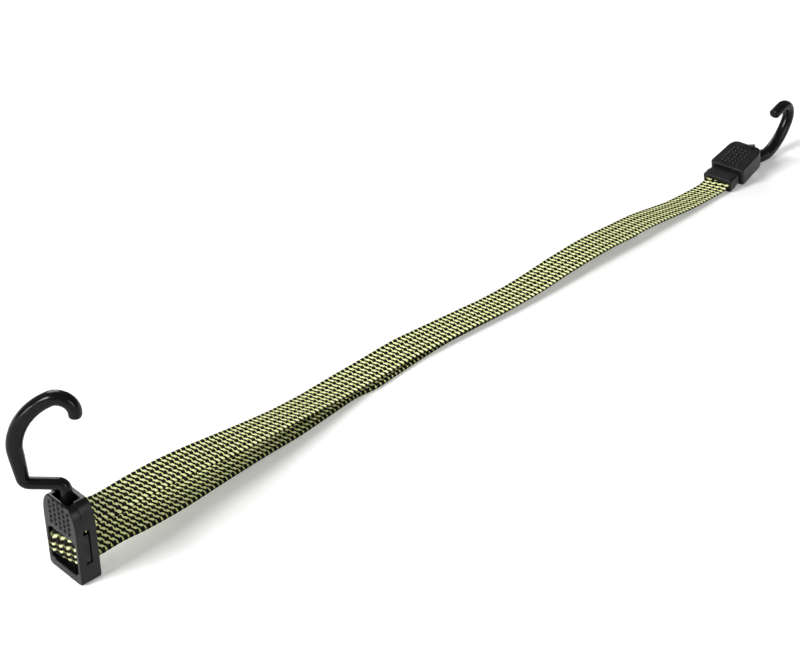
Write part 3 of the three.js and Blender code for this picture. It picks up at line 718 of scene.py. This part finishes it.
def webbing_section(settings, widths, picks, rows, face_up):
    """Points of each ring, across and up: top face, one selvedge, underside and the other selvedge."""
    half = settings.thickness / MM / 2
    groove = settings.groove / MM
    edge_height = half * SELVEDGE_HEIGHT
    from_edge = np.clip(np.minimum(rows, ROWS - rows) / SELVEDGE_SLOPE, 0, 1)
    shoulder = np.sqrt(1 - (1 - from_edge) ** 2)
    top, bottom = (
        edge_height + (half - edge_height - groove * (1 - float_height(picks, rows, side))) * shoulder
        for side in (face_up, 1 - face_up))
    inner = widths / 2 - SELVEDGE
    reach = inner * (1 - 2 * rows / ROWS)
    turn = sweep(90, -90, SELVEDGE_POINTS + 1)[1:-1]
    bead = SELVEDGE * (0.75 + 0.25 * np.cos(2 * math.pi * picks))
    selvedge_reach = inner + bead * np.cos(turn)
    selvedge_height = np.broadcast_to(edge_height * np.sin(turn), selvedge_reach.shape)
    return (np.hstack([reach, -selvedge_reach, reach[:, ::-1], selvedge_reach]),
            np.hstack([top, selvedge_height, -bottom[:, ::-1], -selvedge_height]))


def weave_places(rows, face_up, painted_shade):
    """Row and face of each point of a ring: faces are 0 and 1, and the selvedges lie between them; faces kept
    in from 0 and 1 darken as painted shade.
    """
    side_faces = np.linspace(0.1, 0.9, SELVEDGE_POINTS)
    row_places = np.concatenate([
        rows, np.full(SELVEDGE_POINTS, ROWS), rows[::-1], np.zeros(SELVEDGE_POINTS)])
    faces = np.concatenate([np.zeros(len(rows)), side_faces, np.ones(len(rows)), side_faces[::-1]])
    return row_places, np.clip(np.abs(faces - face_up), painted_shade, 1 - painted_shade)


def webbing_mesh(settings, line, width, along, face_up, across=None, painted_shade=0.0):
    """A length of webbing on a line of places and rolls: its relief, selvedges and weave coordinates.

    The width is one number or one for each place, and along says how far on in the strap each place is.
    """
    rolls = np.radians(line[:, 3:])
    line = line[:, :3]
    tangent = np.gradient(line, axis=0)
    tangent /= np.linalg.norm(tangent, axis=1)[:, None]
    if across is None:
        across = level_across(tangent, rolls)
    up = np.cross(tangent, across)
    rows = np.linspace(0, ROWS, ROWS * POINTS_PER_ROW + 1)
    picks = along[:, None] * MM / settings.pick
    widths = np.broadcast_to(width, len(line))[:, None]
    aside, above = webbing_section(settings, widths, picks, rows, face_up)
    points = line[:, None, :] + aside[..., None] * across[:, None, :] + above[..., None] * up[:, None, :]
    mesh = mesh_from(points.reshape(-1, 3), tube_faces(*aside.shape))
    weave = np.stack(np.broadcast_arrays(picks, *weave_places(rows, face_up, painted_shade)), axis=-1)
    attribute = mesh.attributes.new("weave", "FLOAT_VECTOR", "POINT")
    attribute.data.foreach_set("vector", weave.astype(np.float32).ravel())
    return mesh


def gathered(settings, distance):
    return STRAP_END_WIDTH + (settings.width / MM - STRAP_END_WIDTH) * eased(distance / STRAP_GATHER_LENGTH)


def exit_places(height):
    return [(STRAP_EXIT + CLEARANCE, 0, height), (STRAP_EXIT + EXIT_LEAD, 0, height)]


def webbing_step(settings):
    return settings.pick / MM / RINGS_PER_PICK


def main_run_line(settings):
    places = [*exit_places(BAR_TOP + BAR_WRAP), *RUN_ROUTE, clamp_point(-MOUTH_LEAD), clamp_point(CLEARANCE)]
    return evenly(smooth_route(places), webbing_step(settings))


def loop_line(settings):
    """The loop round the lock bar, and the way across it: it stands out of the window, one edge further."""
    points = [(STRAP_EXIT, 0, BAR_TOP + BAR_WRAP),
              *arc((-BAR_HALF, BAR_TOP), BAR_WRAP, 90, 180),
              *arc((-BAR_HALF, BAR_LOW), BAR_WRAP, 180, 270),
              (STRAP_EXIT, 0, BAR_LOW - BAR_WRAP)]
    along, line = evenly(points, webbing_step(settings))
    below_plate = eased((WINDOW_TOP - LOOP_DROP - line[:, 2]) / LOOP_GROWTH)
    share = below_plate * (1 - eased((line[:, 0] + BAR_HALF) / LOOP_FADE))
    turn = np.radians(LOOP_TURN) * share
    line[:, 0] -= LOOP_BULGE * share
    return along, line, np.column_stack([-np.sin(turn), np.cos(turn), np.zeros(len(turn))])


# Operators
class BUNGEE_OT_stage(bpy.types.Operator):
    """Camera at the photograph's view, pale floor and soft light"""

    bl_idname = "bungee.stage"
    bl_label = "Stage"

    def execute(self, context):
        settings = context.scene.bungee_stage
        self.camera(context.scene)
        self.floor(settings.floor)
        self.sky(context.scene, settings.sky)
        for name, (place, width) in LAMPS.items():
            self.lamp(f"{name} lamp", place, getattr(settings, name), width)
        context.scene.view_settings.view_transform = "Standard"
        return {"FINISHED"}

    def camera(self, scene):
        data = bpy.data.cameras.new("camera")
        data.lens = CAMERA_LENS
        data.sensor_width = CAMERA_SENSOR
        camera = linked("camera", data)
        camera.location = Vector(CAMERA_PLACE) * MM
        camera.rotation_euler = [math.radians(turn) for turn in CAMERA_TURN]
        scene.camera = camera

    def floor(self, colour):
        mesh = bpy.data.meshes.new("floor")
        corners = ((-1, -1), (1, -1), (1, 1), (-1, 1))
        mesh.from_pydata([(x * FLOOR_REACH, y * FLOOR_REACH, 0) for x, y in corners], [], [(0, 1, 2, 3)])
        floor = linked("floor", mesh)
        material, nodes = new_material("pale_floor")
        noise = nodes.add("ShaderNodeTexNoise", {"Scale": 3.0, "Detail": 2.0}).outputs["Fac"]
        seen = nodes.add("ShaderNodeLightPath").outputs["Is Camera Ray"]
        place = nodes.add("ShaderNodeTexCoord").outputs["Object"]
        away = nodes.add("ShaderNodeVectorMath", {0: place}, operation="LENGTH").outputs["Value"]
        glow = nodes.ramp(away, FLOOR_NEAR[0], FLOOR_FAR[0], FLOOR_NEAR[1], FLOOR_FAR[1])
        surface(nodes, {
            "Base Color": nodes.mix(noise, opaque(colour, 0.99), opaque(colour, 1.01)),
            "Roughness": 0.9,
            "Specular IOR Level": 0.1,
            "Emission Color": (1.0, 1.0, 1.0, 1.0),
            "Emission Strength": nodes.math("MULTIPLY", seen, glow),
        })
        mesh.materials.append(material)

    def sky(self, scene, strength):
        """White where the camera sees it, and a low even light on the object."""
        world = bpy.data.worlds.new("studio")
        world.use_nodes = True
        nodes = Nodes(world.node_tree)
        background = world.node_tree.nodes["Background"]
        seen = nodes.add("ShaderNodeLightPath").outputs["Is Camera Ray"]
        background.inputs["Color"].default_value = (1.0, 1.0, 1.0, 1.0)
        nodes.feed(background.inputs["Strength"], nodes.math("MAXIMUM", seen, strength))
        scene.world = world

    def lamp(self, name, place, power, width):
        data = bpy.data.lights.new(name, "AREA")
        data.energy = power
        data.size = width
        lamp = linked(name, data)
        lamp.location = Vector(place) * MM
        aim = Vector(LAMP_AIM) * MM - lamp.location
        lamp.rotation_euler = aim.to_track_quat("-Z", "Y").to_euler()


class BUNGEE_OT_strap_runs(bpy.types.Operator):
    """The webbing's two free stretches: the main run, in two halves, and the tail"""

    bl_idname = "bungee.strap_runs"
    bl_label = "Strap runs"

    def execute(self, context):
        settings = context.scene.bungee_strap
        material = webbing(settings)
        along, line = main_run_line(settings)
        widths = gathered(settings, along[-1] - along)
        middle = int(len(along) * RUN_SPLIT)
        halves = (("strap_near_run", slice(0, middle + 1), ("lock", "strap_run"), 1),
                  ("strap_far_run", slice(middle, None), ("strap_run", "fixed_end"), -1))
        for name, part, bodies, direction in halves:
            mesh = webbing_mesh(settings, line[part], widths[part], along[part], 0)
            piece = show(name, mesh, material, "strap_main_run")
            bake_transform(piece)
        self.tail(settings, material)
        return {"FINISHED"}

    def tail(self, settings, material):
        loop_length = loop_line(settings)[0][-1]
        places = [*exit_places(BAR_LOW - BAR_WRAP), *TAIL_ROUTE]
        along, line = evenly(smooth_route(places), webbing_step(settings))
        mesh = webbing_mesh(settings, line, settings.width / MM, loop_length + along, 1)
        piece = show("strap_tail_webbing", mesh, material, "strap_tail")
        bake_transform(piece)


class BUNGEE_OT_strap_folds(bpy.types.Operator):
    """The webbing round the lock bar and round the anchor pin"""

    bl_idname = "bungee.strap_folds"
    bl_label = "Strap folds"

    def execute(self, context):
        settings = context.scene.bungee_strap
        self.loop(settings)
        self.fold(settings)
        return {"FINISHED"}

    def loop(self, settings):
        along, line, across = loop_line(settings)
        # Painted shade: the loop's faces are kept in from 0 and 1, so its pale floats darken as in the
        # window's shade
        mesh = webbing_mesh(settings, line, settings.width / MM, -along, 1, across, LOOP_PAINTED_SHADE)
        show("strap_loop_webbing", mesh, webbing(settings), "strap_loop", "lock")

    def fold(self, settings):
        points = [(PIN_PLACE - FOLD_RETURN, 0, -FOLD_RADIUS),
                  *arc((PIN_PLACE, 0), FOLD_RADIUS, -90, 90),
                  (PIN_PLACE - FOLD_RADIUS, 0, FOLD_RADIUS - CLEARANCE),
                  (FERRULE_END + CLEARANCE, 0, 0), (2 * CLEARANCE, 0, 0)]
        along, line = evenly(points, webbing_step(settings))
        run_length = main_run_line(settings)[0][-1]
        across = np.tile((0.0, 1.0, 0.0), (len(along), 1))
        mesh = webbing_mesh(settings, line, STRAP_END_WIDTH, run_length + along[-1] - along, 1, across)
        mesh = turned(mesh, clamp_matrix())
        show("strap_anchor_webbing", mesh, webbing(settings), "strap_anchor_fold", "fixed_end")


class BUNGEE_OT_adjuster(bpy.types.Operator):
    """The adjuster's two shells, with the window, the grip dots, the bar slots and the hook's pocket"""

    bl_idname = "bungee.adjuster"
    bl_label = "Adjuster"

    def execute(self, context):
        settings = context.scene.bungee_plastic
        material = plastic("adjuster_plastic_grain", settings.adjuster, ADJUSTER_FINISH)
        edge = settings.edge / MM
        gap = PARTING_GAP / 2
        front = eased_prism(self.outline(BODY_HEIGHT), -BODY_HALF_DEPTH, PARTING - gap, "X",
                            (edge, PARTING_EDGE))
        back = eased_prism(self.outline(BODY_HEIGHT + RIDGE_RISE), PARTING + gap, BODY_HALF_DEPTH, "X",
                           (PARTING_EDGE, edge))
        front = combined(front, [*self.rooms(), self.window(settings.lip / MM)])
        front = combined(front, self.dots(settings.dot / MM), "UNION")
        back = combined(back, self.rooms())
        for name, mesh in (("adjuster_front", front), ("adjuster_back", back)):
            weigh_normals(show(name, mesh, material, f"{name}_shell", "adjuster"))
        return {"FINISHED"}

    def outline(self, height):
        """The view from the front: eased lower corners, and shoulders that leave the flat top at a crease."""
        half, base = BODY_HALF_WIDTH, BASE_RADIUS
        corner = (half, height - (half - CREASE) * math.tan(math.radians(SHOULDER_SLOPE)))
        shoulder = bent((half, height - SHOULDER_DROP), corner, (CREASE, height), 12)
        crease = bent(shoulder[-2], (CREASE, height), (CREASE - CREASE_EASE, height), 4)
        right = [*bent((half - base, 0), (half, 0), (half, base)), *shoulder[:-2], *crease]
        return [*right, *[(-across, up) for across, up in reversed(right)]]

    def rooms(self):
        beyond = 30.0
        return [
            box((PLATE_BACK, -ROOM_HALF_WIDTH, RAIL_HEIGHT), (beyond, ROOM_HALF_WIDTH, ROOM_TOP)),
            self.bar_slot(),
            rod("Z", (0, 0), CHAMBER_LOW, CHAMBER_TOP, CHAMBER_RADIUS),
            rod("Z", (0, 0), CHAMBER_TOP - CLEARANCE, POCKET_FLOOR + CLEARANCE, THROAT_RADIUS),
            self.pocket(),
        ]

    def bar_slot(self):
        """The slot through both side walls, with eased rims."""
        rim, beyond, corner = 0.45, 1.0, 0.3
        half = BAR_HALF + CLEARANCE
        stations = [(side * (BODY_HALF_WIDTH - depth), offset)
                    for side in (-1, 1) for depth, offset in lip(rim, beyond)[::-side]]
        return eased_hole((BAR_LOW - CLEARANCE, -half), (BAR_SLOT_TOP, half), corner, "Y", stations, 4)

    def pocket(self):
        """The open pocket round the hook's stem."""
        rim, beyond, corner = 0.4, 4.0, 1.0
        rings = [self.pocket_ring(BODY_HEIGHT - depth, offset, corner) for depth, offset in lip(rim, beyond)]
        return lofted([self.pocket_ring(POCKET_FLOOR, 0.0, corner), *reversed(rings)])

    def pocket_ring(self, height, offset, corner):
        low = (PLATE_BACK - offset / 2, -POCKET_HALF_WIDTH - offset)
        high = (POCKET_BACK + offset / 2, POCKET_HALF_WIDTH + offset)
        return place_ring(rounded_outline(low, high, corner, 5), height, "Z")

    def window(self, rim):
        beyond = 2.0
        stations = [(depth - BODY_HALF_DEPTH, offset) for depth, offset in lip(rim, beyond)]
        return eased_hole((-ROOM_HALF_WIDTH, RAIL_HEIGHT), (ROOM_HALF_WIDTH, WINDOW_TOP), WINDOW_RADIUS, "X",
                          [*stations, (-PARTING, 0.0)])

    def dots(self, radius):
        counts = [DOT_COLUMNS] * DOT_ROWS + [DOT_TOP_ROW]
        places = [(across, DOT_LOWEST + row * DOT_PITCH_UP)
                  for row, count in enumerate(counts) for across in centred(count, DOT_PITCH_ACROSS)]
        return grip_dots("X", -BODY_HALF_DEPTH, places, radius, DOT_RISE, DOT_SIDES)


class BUNGEE_OT_hooks(bpy.types.Operator):
    """The two moulded hooks, each with the head that turns in its shells"""

    bl_idname = "bungee.hooks"
    bl_label = "Hooks"

    def execute(self, context):
        settings = context.scene.bungee_plastic
        material = plastic("hook_plastic_gloss", settings.hook, HOOK_FINISH)
        near = turned(self.hook(ADJUSTER_HOOK_LEG - ADJUSTER_HOOK_HEAD, ADJUSTER_HOOK),
                      Matrix.Translation((0, 0, ADJUSTER_HOOK_HEAD * MM))
                      @ Matrix.Rotation(math.radians(ADJUSTER_HOOK_TURN), 4, "Z"))
        turn = math.radians(FIXED_HOOK_TURN)
        leg = Vector((0, -math.cos(turn), -math.sin(turn)))
        stem = Vector((1, 0, 0))
        lay = Matrix((leg, stem.cross(leg), stem)).transposed().to_4x4()
        far = turned(self.hook(FIXED_HOOK_LEG - FIXED_HOOK_HEAD, FIXED_HOOK),
                     clamp_matrix() @ Matrix.Translation((FIXED_HOOK_HEAD * MM, 0, 0)) @ lay)
        for end, mesh in (("adjuster", near), ("fixed", far)):
            show(f"{end}_hook_moulding", mesh, material, f"{end}_hook", f"{end}_swivel")
        return {"FINISHED"}

    def line(self, stem, sizes):
        """Places on the hook's middle line: along, out, heading and the number of the stretch."""
        curl_turn = 270 - sizes["bend_turn"] - SHOULDER_TURN - sizes["crown_turn"]
        chain = [(stem - BEND_RADIUS, 0), (BEND_RADIUS, 90), (sizes["leg"], 0),
                 (BEND_RADIUS, -sizes["bend_turn"]), (sizes["shank"], 0), (SHOULDER_RADIUS, -SHOULDER_TURN),
                 (sizes["crown"], -sizes["crown_turn"]), (sizes["curl"], -curl_turn), (sizes["tip"], 0)]
        places = [(0.0, 0.0, 0.0, 0)]
        for number, (size, degrees) in enumerate(chain):
            turn = math.radians(degrees)
            length = size * abs(turn) if degrees else size
            steps = max(2, round(length / HOOK_STEP))
            step = length / steps
            for _ in range(steps):
                along, out, heading, _stretch = places[-1]
                middle = heading + turn / steps / 2
                places.append((along + step * math.sin(middle), out + step * math.cos(middle),
                               heading + turn / steps, number))
        return places

    def sections(self, places):
        """Depth and thickness at each place: slim leg, deep crown, slim tip."""
        bend, curl = 3, 7
        number = np.arange(len(places))[:, None]
        first = next(k for k, place in enumerate(places) if place[3] == bend)
        deepest = (first + next(k for k, place in enumerate(places) if place[3] == curl)) / 2
        grown = np.sin(np.clip((number - first) / (deepest - first), 0, 1) * math.pi / 2)
        drawn = eased((number - deepest) / (len(places) - 1 - deepest))
        leg, crown, tip = np.array(HOOK_LEG), np.array(HOOK_CROWN), np.array(HOOK_TIP)
        return leg + (crown - leg) * grown + (tip - crown) * drawn

    def ledge(self, places, rise):
        """How far the shank stands out on its inner side, up to a small step at its end."""
        bend, shank = 3, 4
        shown = [bend <= place[3] <= shank for place in places]
        start, end = shown.index(True), len(shown) - shown[::-1].index(True)
        number = np.arange(len(places))
        growth, early, fall = 8, 2, 3  # in rings
        return rise * eased((number - start) / growth) * (1 - eased((number - end + early) / fall))

    def hook(self, stem, sizes):
        """A hook on its head at the origin, its stem along +Z and its leg along +X."""
        places = self.line(stem - HEAD_THICKNESS, sizes)
        rim = 0.35
        rings = [self.ring((0, out, 0), (2 * radius, 2 * radius), 2.0) for out, radius in (
            (0, HEAD_RADIUS - rim), (rim, HEAD_RADIUS), (HEAD_THICKNESS - rim, HEAD_RADIUS),
            (HEAD_THICKNESS, HEAD_RADIUS - rim))]
        sections = self.sections(places)
        ledges = self.ledge(places, sizes["ledge"])
        for (along, out, heading, stretch), section, ledge in zip(places, sections, ledges):
            place = (along, out + HEAD_THICKNESS, heading)
            if stretch:
                rings.append(self.ring(place, section, HOOK_SQUARENESS, ledge))
            else:
                rings.append(self.ring(place, (2 * STEM_RADIUS, 2 * STEM_RADIUS), 2.0))
        return lofted(self.rounded_tip(rings, places[-1], sections[-1]))

    def ring(self, place, section, squareness, ledge=0.0):
        """The outline of a section at a place, with a ledge on its inner side."""
        along, out, heading = place
        depth, thickness = section
        angles = 2 * np.pi * np.arange(HOOK_SIDES) / HOOK_SIDES
        deep, thick = (np.sign(f(angles)) * np.abs(f(angles)) ** (2 / squareness) for f in (np.cos, np.sin))
        deep = deep * depth / 2 - ledge * (deep < -0.2)
        return np.column_stack([along + deep * math.cos(heading), thick * thickness / 2,
                                out - deep * math.sin(heading)])

    def rounded_tip(self, rings, last, section):
        """Draws the tip's last rings in, so that its end has a rounded rim."""
        along, out, heading, _stretch = last
        radius, steps = 1.5, 6
        kept = rings[:-1 - math.ceil(radius / HOOK_STEP)]
        for angle in sweep(0, 90, steps)[1:]:
            off = radius * (1 - math.sin(angle))
            place = (along - off * math.sin(heading), out + HEAD_THICKNESS - off * math.cos(heading), heading)
            kept.append(self.ring(place, section - 2 * radius * (1 - math.cos(angle)), HOOK_SQUARENESS))
        return kept


class BUNGEE_OT_clamp(bpy.types.Operator):
    """The fixed clamp: its two shells, and the ferrule that the webbing enters"""

    bl_idname = "bungee.clamp"
    bl_label = "Clamp"

    def execute(self, context):
        settings = context.scene.bungee_plastic
        material = plastic("clamp_plastic_grain", settings.clamp, CLAMP_FINISH)
        gap = PARTING_GAP / 2
        top = eased_prism(self.outline(), gap, CLAMP_HALF_HEIGHT, "Z", (PARTING_EDGE, CLAMP_TOP_RIM))
        bottom = eased_prism(self.outline(), -CLAMP_HALF_HEIGHT, -gap, "Z", (CLAMP_BASE_RIM, PARTING_EDGE))
        top = combined(top, self.rooms())
        top = combined(top, [self.tab(), *self.dots(settings.clamp_dot / MM)], "UNION")
        bottom = combined(bottom, self.rooms())
        pieces = (("clamp_top", top, "clamp_top_shell"), ("clamp_bottom", bottom, "clamp_bottom_shell"),
                  ("webbing_ferrule", self.ferrule(), "strap_ferrule"))
        for name, mesh, node in pieces:
            mesh = turned(mesh, clamp_matrix())
            weigh_normals(show(name, mesh, material, node, "fixed_end"))
        return {"FINISHED"}

    def outline(self):
        """The plan: eased corners at the mouth, and long round ones at the hook's end."""
        near, far, front = CLAMP_HALF_WIDTH, CLAMP_HALF_WIDTH - CLAMP_TAPER, CLAMP_FRONT_CORNER
        along, across = CLAMP_CORNER
        lower = [*bent((CLAMP_START, front - near), (CLAMP_START, -near), (CLAMP_START + front, -near)),
                 *bent((CLAMP_END - along, -far), (CLAMP_END, -far), (CLAMP_END, across - far), 12)]
        return [*lower, *[(x, -y) for x, y in reversed(lower)]]

    def rooms(self):
        width, height = NECK_HALF[0] + CLEARANCE, NECK_HALF[1] + CLEARANCE
        flange, rear = FLANGE_HALF_HEIGHT + CLEARANCE, FERRULE_END + CLEARANCE
        start, end, half, roof = FOLD_ROOM
        radius, reach = PIN_ROOM
        floor, top = CLAMP_CHAMBER
        rim, beyond = 0.4, 5.8
        mouth = [(CLAMP_END - depth, THROAT_RADIUS + offset) for depth, offset in lip(rim, beyond)]
        return [
            box((0, -width, -height), (rear, width, height)),
            box((FLANGE_START - CLEARANCE, SHY - width, -flange), (rear + SHY, width - SHY, flange)),
            box((start, -half, -roof), (end, half, roof)),
            rod("Y", (0, PIN_PLACE), -reach, reach, radius),
            rod("X", (0, 0), floor, top, CHAMBER_RADIUS),
            round_body("X", (0, 0), [(top - CLEARANCE, THROAT_RADIUS), *reversed(mouth)]),
        ]

    def tab(self):
        """A small wedge on the plate's far edge."""
        length, width, offset, rise = TAB
        low, plate, high = CLAMP_HALF_HEIGHT - rise, CLAMP_HALF_HEIGHT, CLAMP_HALF_HEIGHT + rise
        left, right = offset - width / 2, offset + width / 2
        crest, rim = (left + 0.5, left + 1.2), 0.2
        outline = [(left, low), (right, low), (right, plate), (crest[1], high), (crest[0], high)]
        return eased_prism(outline, CLAMP_END - length, CLAMP_END - 2 * SHY, "X", (rim, rim), 2)

    def dots(self, radius):
        places = [(CLAMP_DOT_MIDDLE + along, across) for along in centred(CLAMP_DOT_ROWS, CLAMP_DOT_PITCH)
                  for across in centred(CLAMP_DOT_COLUMNS, CLAMP_DOT_PITCH)]
        return grip_dots("Z", CLAMP_HALF_HEIGHT, places, radius, CLAMP_DOT_RISE, CLAMP_DOT_SIDES)

    def ferrule(self):
        collar = eased_prism(centred_outline(COLLAR_HALF, COLLAR_CORNER, 6), 0, COLLAR_LENGTH, "X",
                             COLLAR_RIMS)
        start, shoulder_rim = COLLAR_LENGTH / 2, 0.25
        shoulder = eased_prism(centred_outline(SHOULDER_HALF, SHOULDER_CORNER, 5), start,
                               CLAMP_START - CLEARANCE, "X", (0, shoulder_rim))
        neck = eased_prism(centred_outline(NECK_HALF, NECK_CORNER, 5), start, FERRULE_END, "X", (0, 0))
        width, rear = NECK_HALF[0] - 2 * SHY, FERRULE_END - 2 * SHY
        flange = box((FLANGE_START, -width, -FLANGE_HALF_HEIGHT), (rear, width, FLANGE_HALF_HEIGHT))
        stations = [*lip(BORE_RIM, COLLAR_LENGTH), (CLAMP_END, 0.0)]
        bore = eased_hole(np.negative(BORE_HALF), BORE_HALF, BORE_CORNER, "X", stations, 4)
        return combined(combined(collar, [shoulder, neck, flange], "UNION"), [bore])


class BUNGEE_OT_steel(bpy.types.Operator):
    """The lock bar and the anchor pin keep their CAD shapes, with eased edges and a steel finish"""

    bl_idname = "bungee.steel"
    bl_label = "Bar and pin"

    def execute(self, context):
        colour = context.scene.bungee_plastic.steel
        material = shared(bpy.data.materials, "blackened_steel", steel_material, colour)
        for name in ("lock_bar", "anchor_pin"):
            node = frame["nodes"][name]
            node.data.materials.clear()
            node.data.materials.append(material)
            modifier = node.modifiers.new("eased edges", "BEVEL")
            modifier.width = STEEL_EDGE * MM
            modifier.segments = 3
            modifier.limit_method = "ANGLE"
        return {"FINISHED"}


class BUNGEE_PT_panel(bpy.types.Panel):
    """Settings and steps of the bungee strap"""

    bl_idname = "BUNGEE_PT_panel"
    bl_label = "Bungee strap"
    bl_space_type = "VIEW_3D"
    bl_region_type = "UI"
    bl_category = "Bungee strap"

    def draw(self, context):
        for name in SETTINGS:
            settings = getattr(context.scene, name)
            column = self.layout.box()
            column.label(text=name.removeprefix("bungee_").capitalize())
            for size in settings.__annotations__:
                column.prop(settings, size)
        for operator in OPERATORS:
            self.layout.operator(operator.bl_idname)


SETTINGS = {"bungee_strap": StrapSettings, "bungee_plastic": PlasticSettings, "bungee_stage": StageSettings}
OPERATORS = (BUNGEE_OT_stage, BUNGEE_OT_strap_runs, BUNGEE_OT_strap_folds, BUNGEE_OT_adjuster,
             BUNGEE_OT_hooks, BUNGEE_OT_clamp, BUNGEE_OT_steel)


def register():
    for cls in (*SETTINGS.values(), *OPERATORS, BUNGEE_PT_panel):
        bpy.utils.register_class(cls)
    for name, group in SETTINGS.items():
        setattr(bpy.types.Scene, name, bpy.props.PointerProperty(type=group))


def unregister():
    for name in SETTINGS:
        delattr(bpy.types.Scene, name)
    for cls in reversed((*SETTINGS.values(), *OPERATORS, BUNGEE_PT_panel)):
        bpy.utils.unregister_class(cls)


def main():
    register()
    bpy.ops.bungee.stage()
    bpy.ops.bungee.strap_runs()
    bpy.ops.bungee.strap_folds()
    bpy.ops.bungee.adjuster()
    bpy.ops.bungee.hooks()
    bpy.ops.bungee.clamp()
    bpy.ops.bungee.steel()


if __name__ == "__main__":
    main()
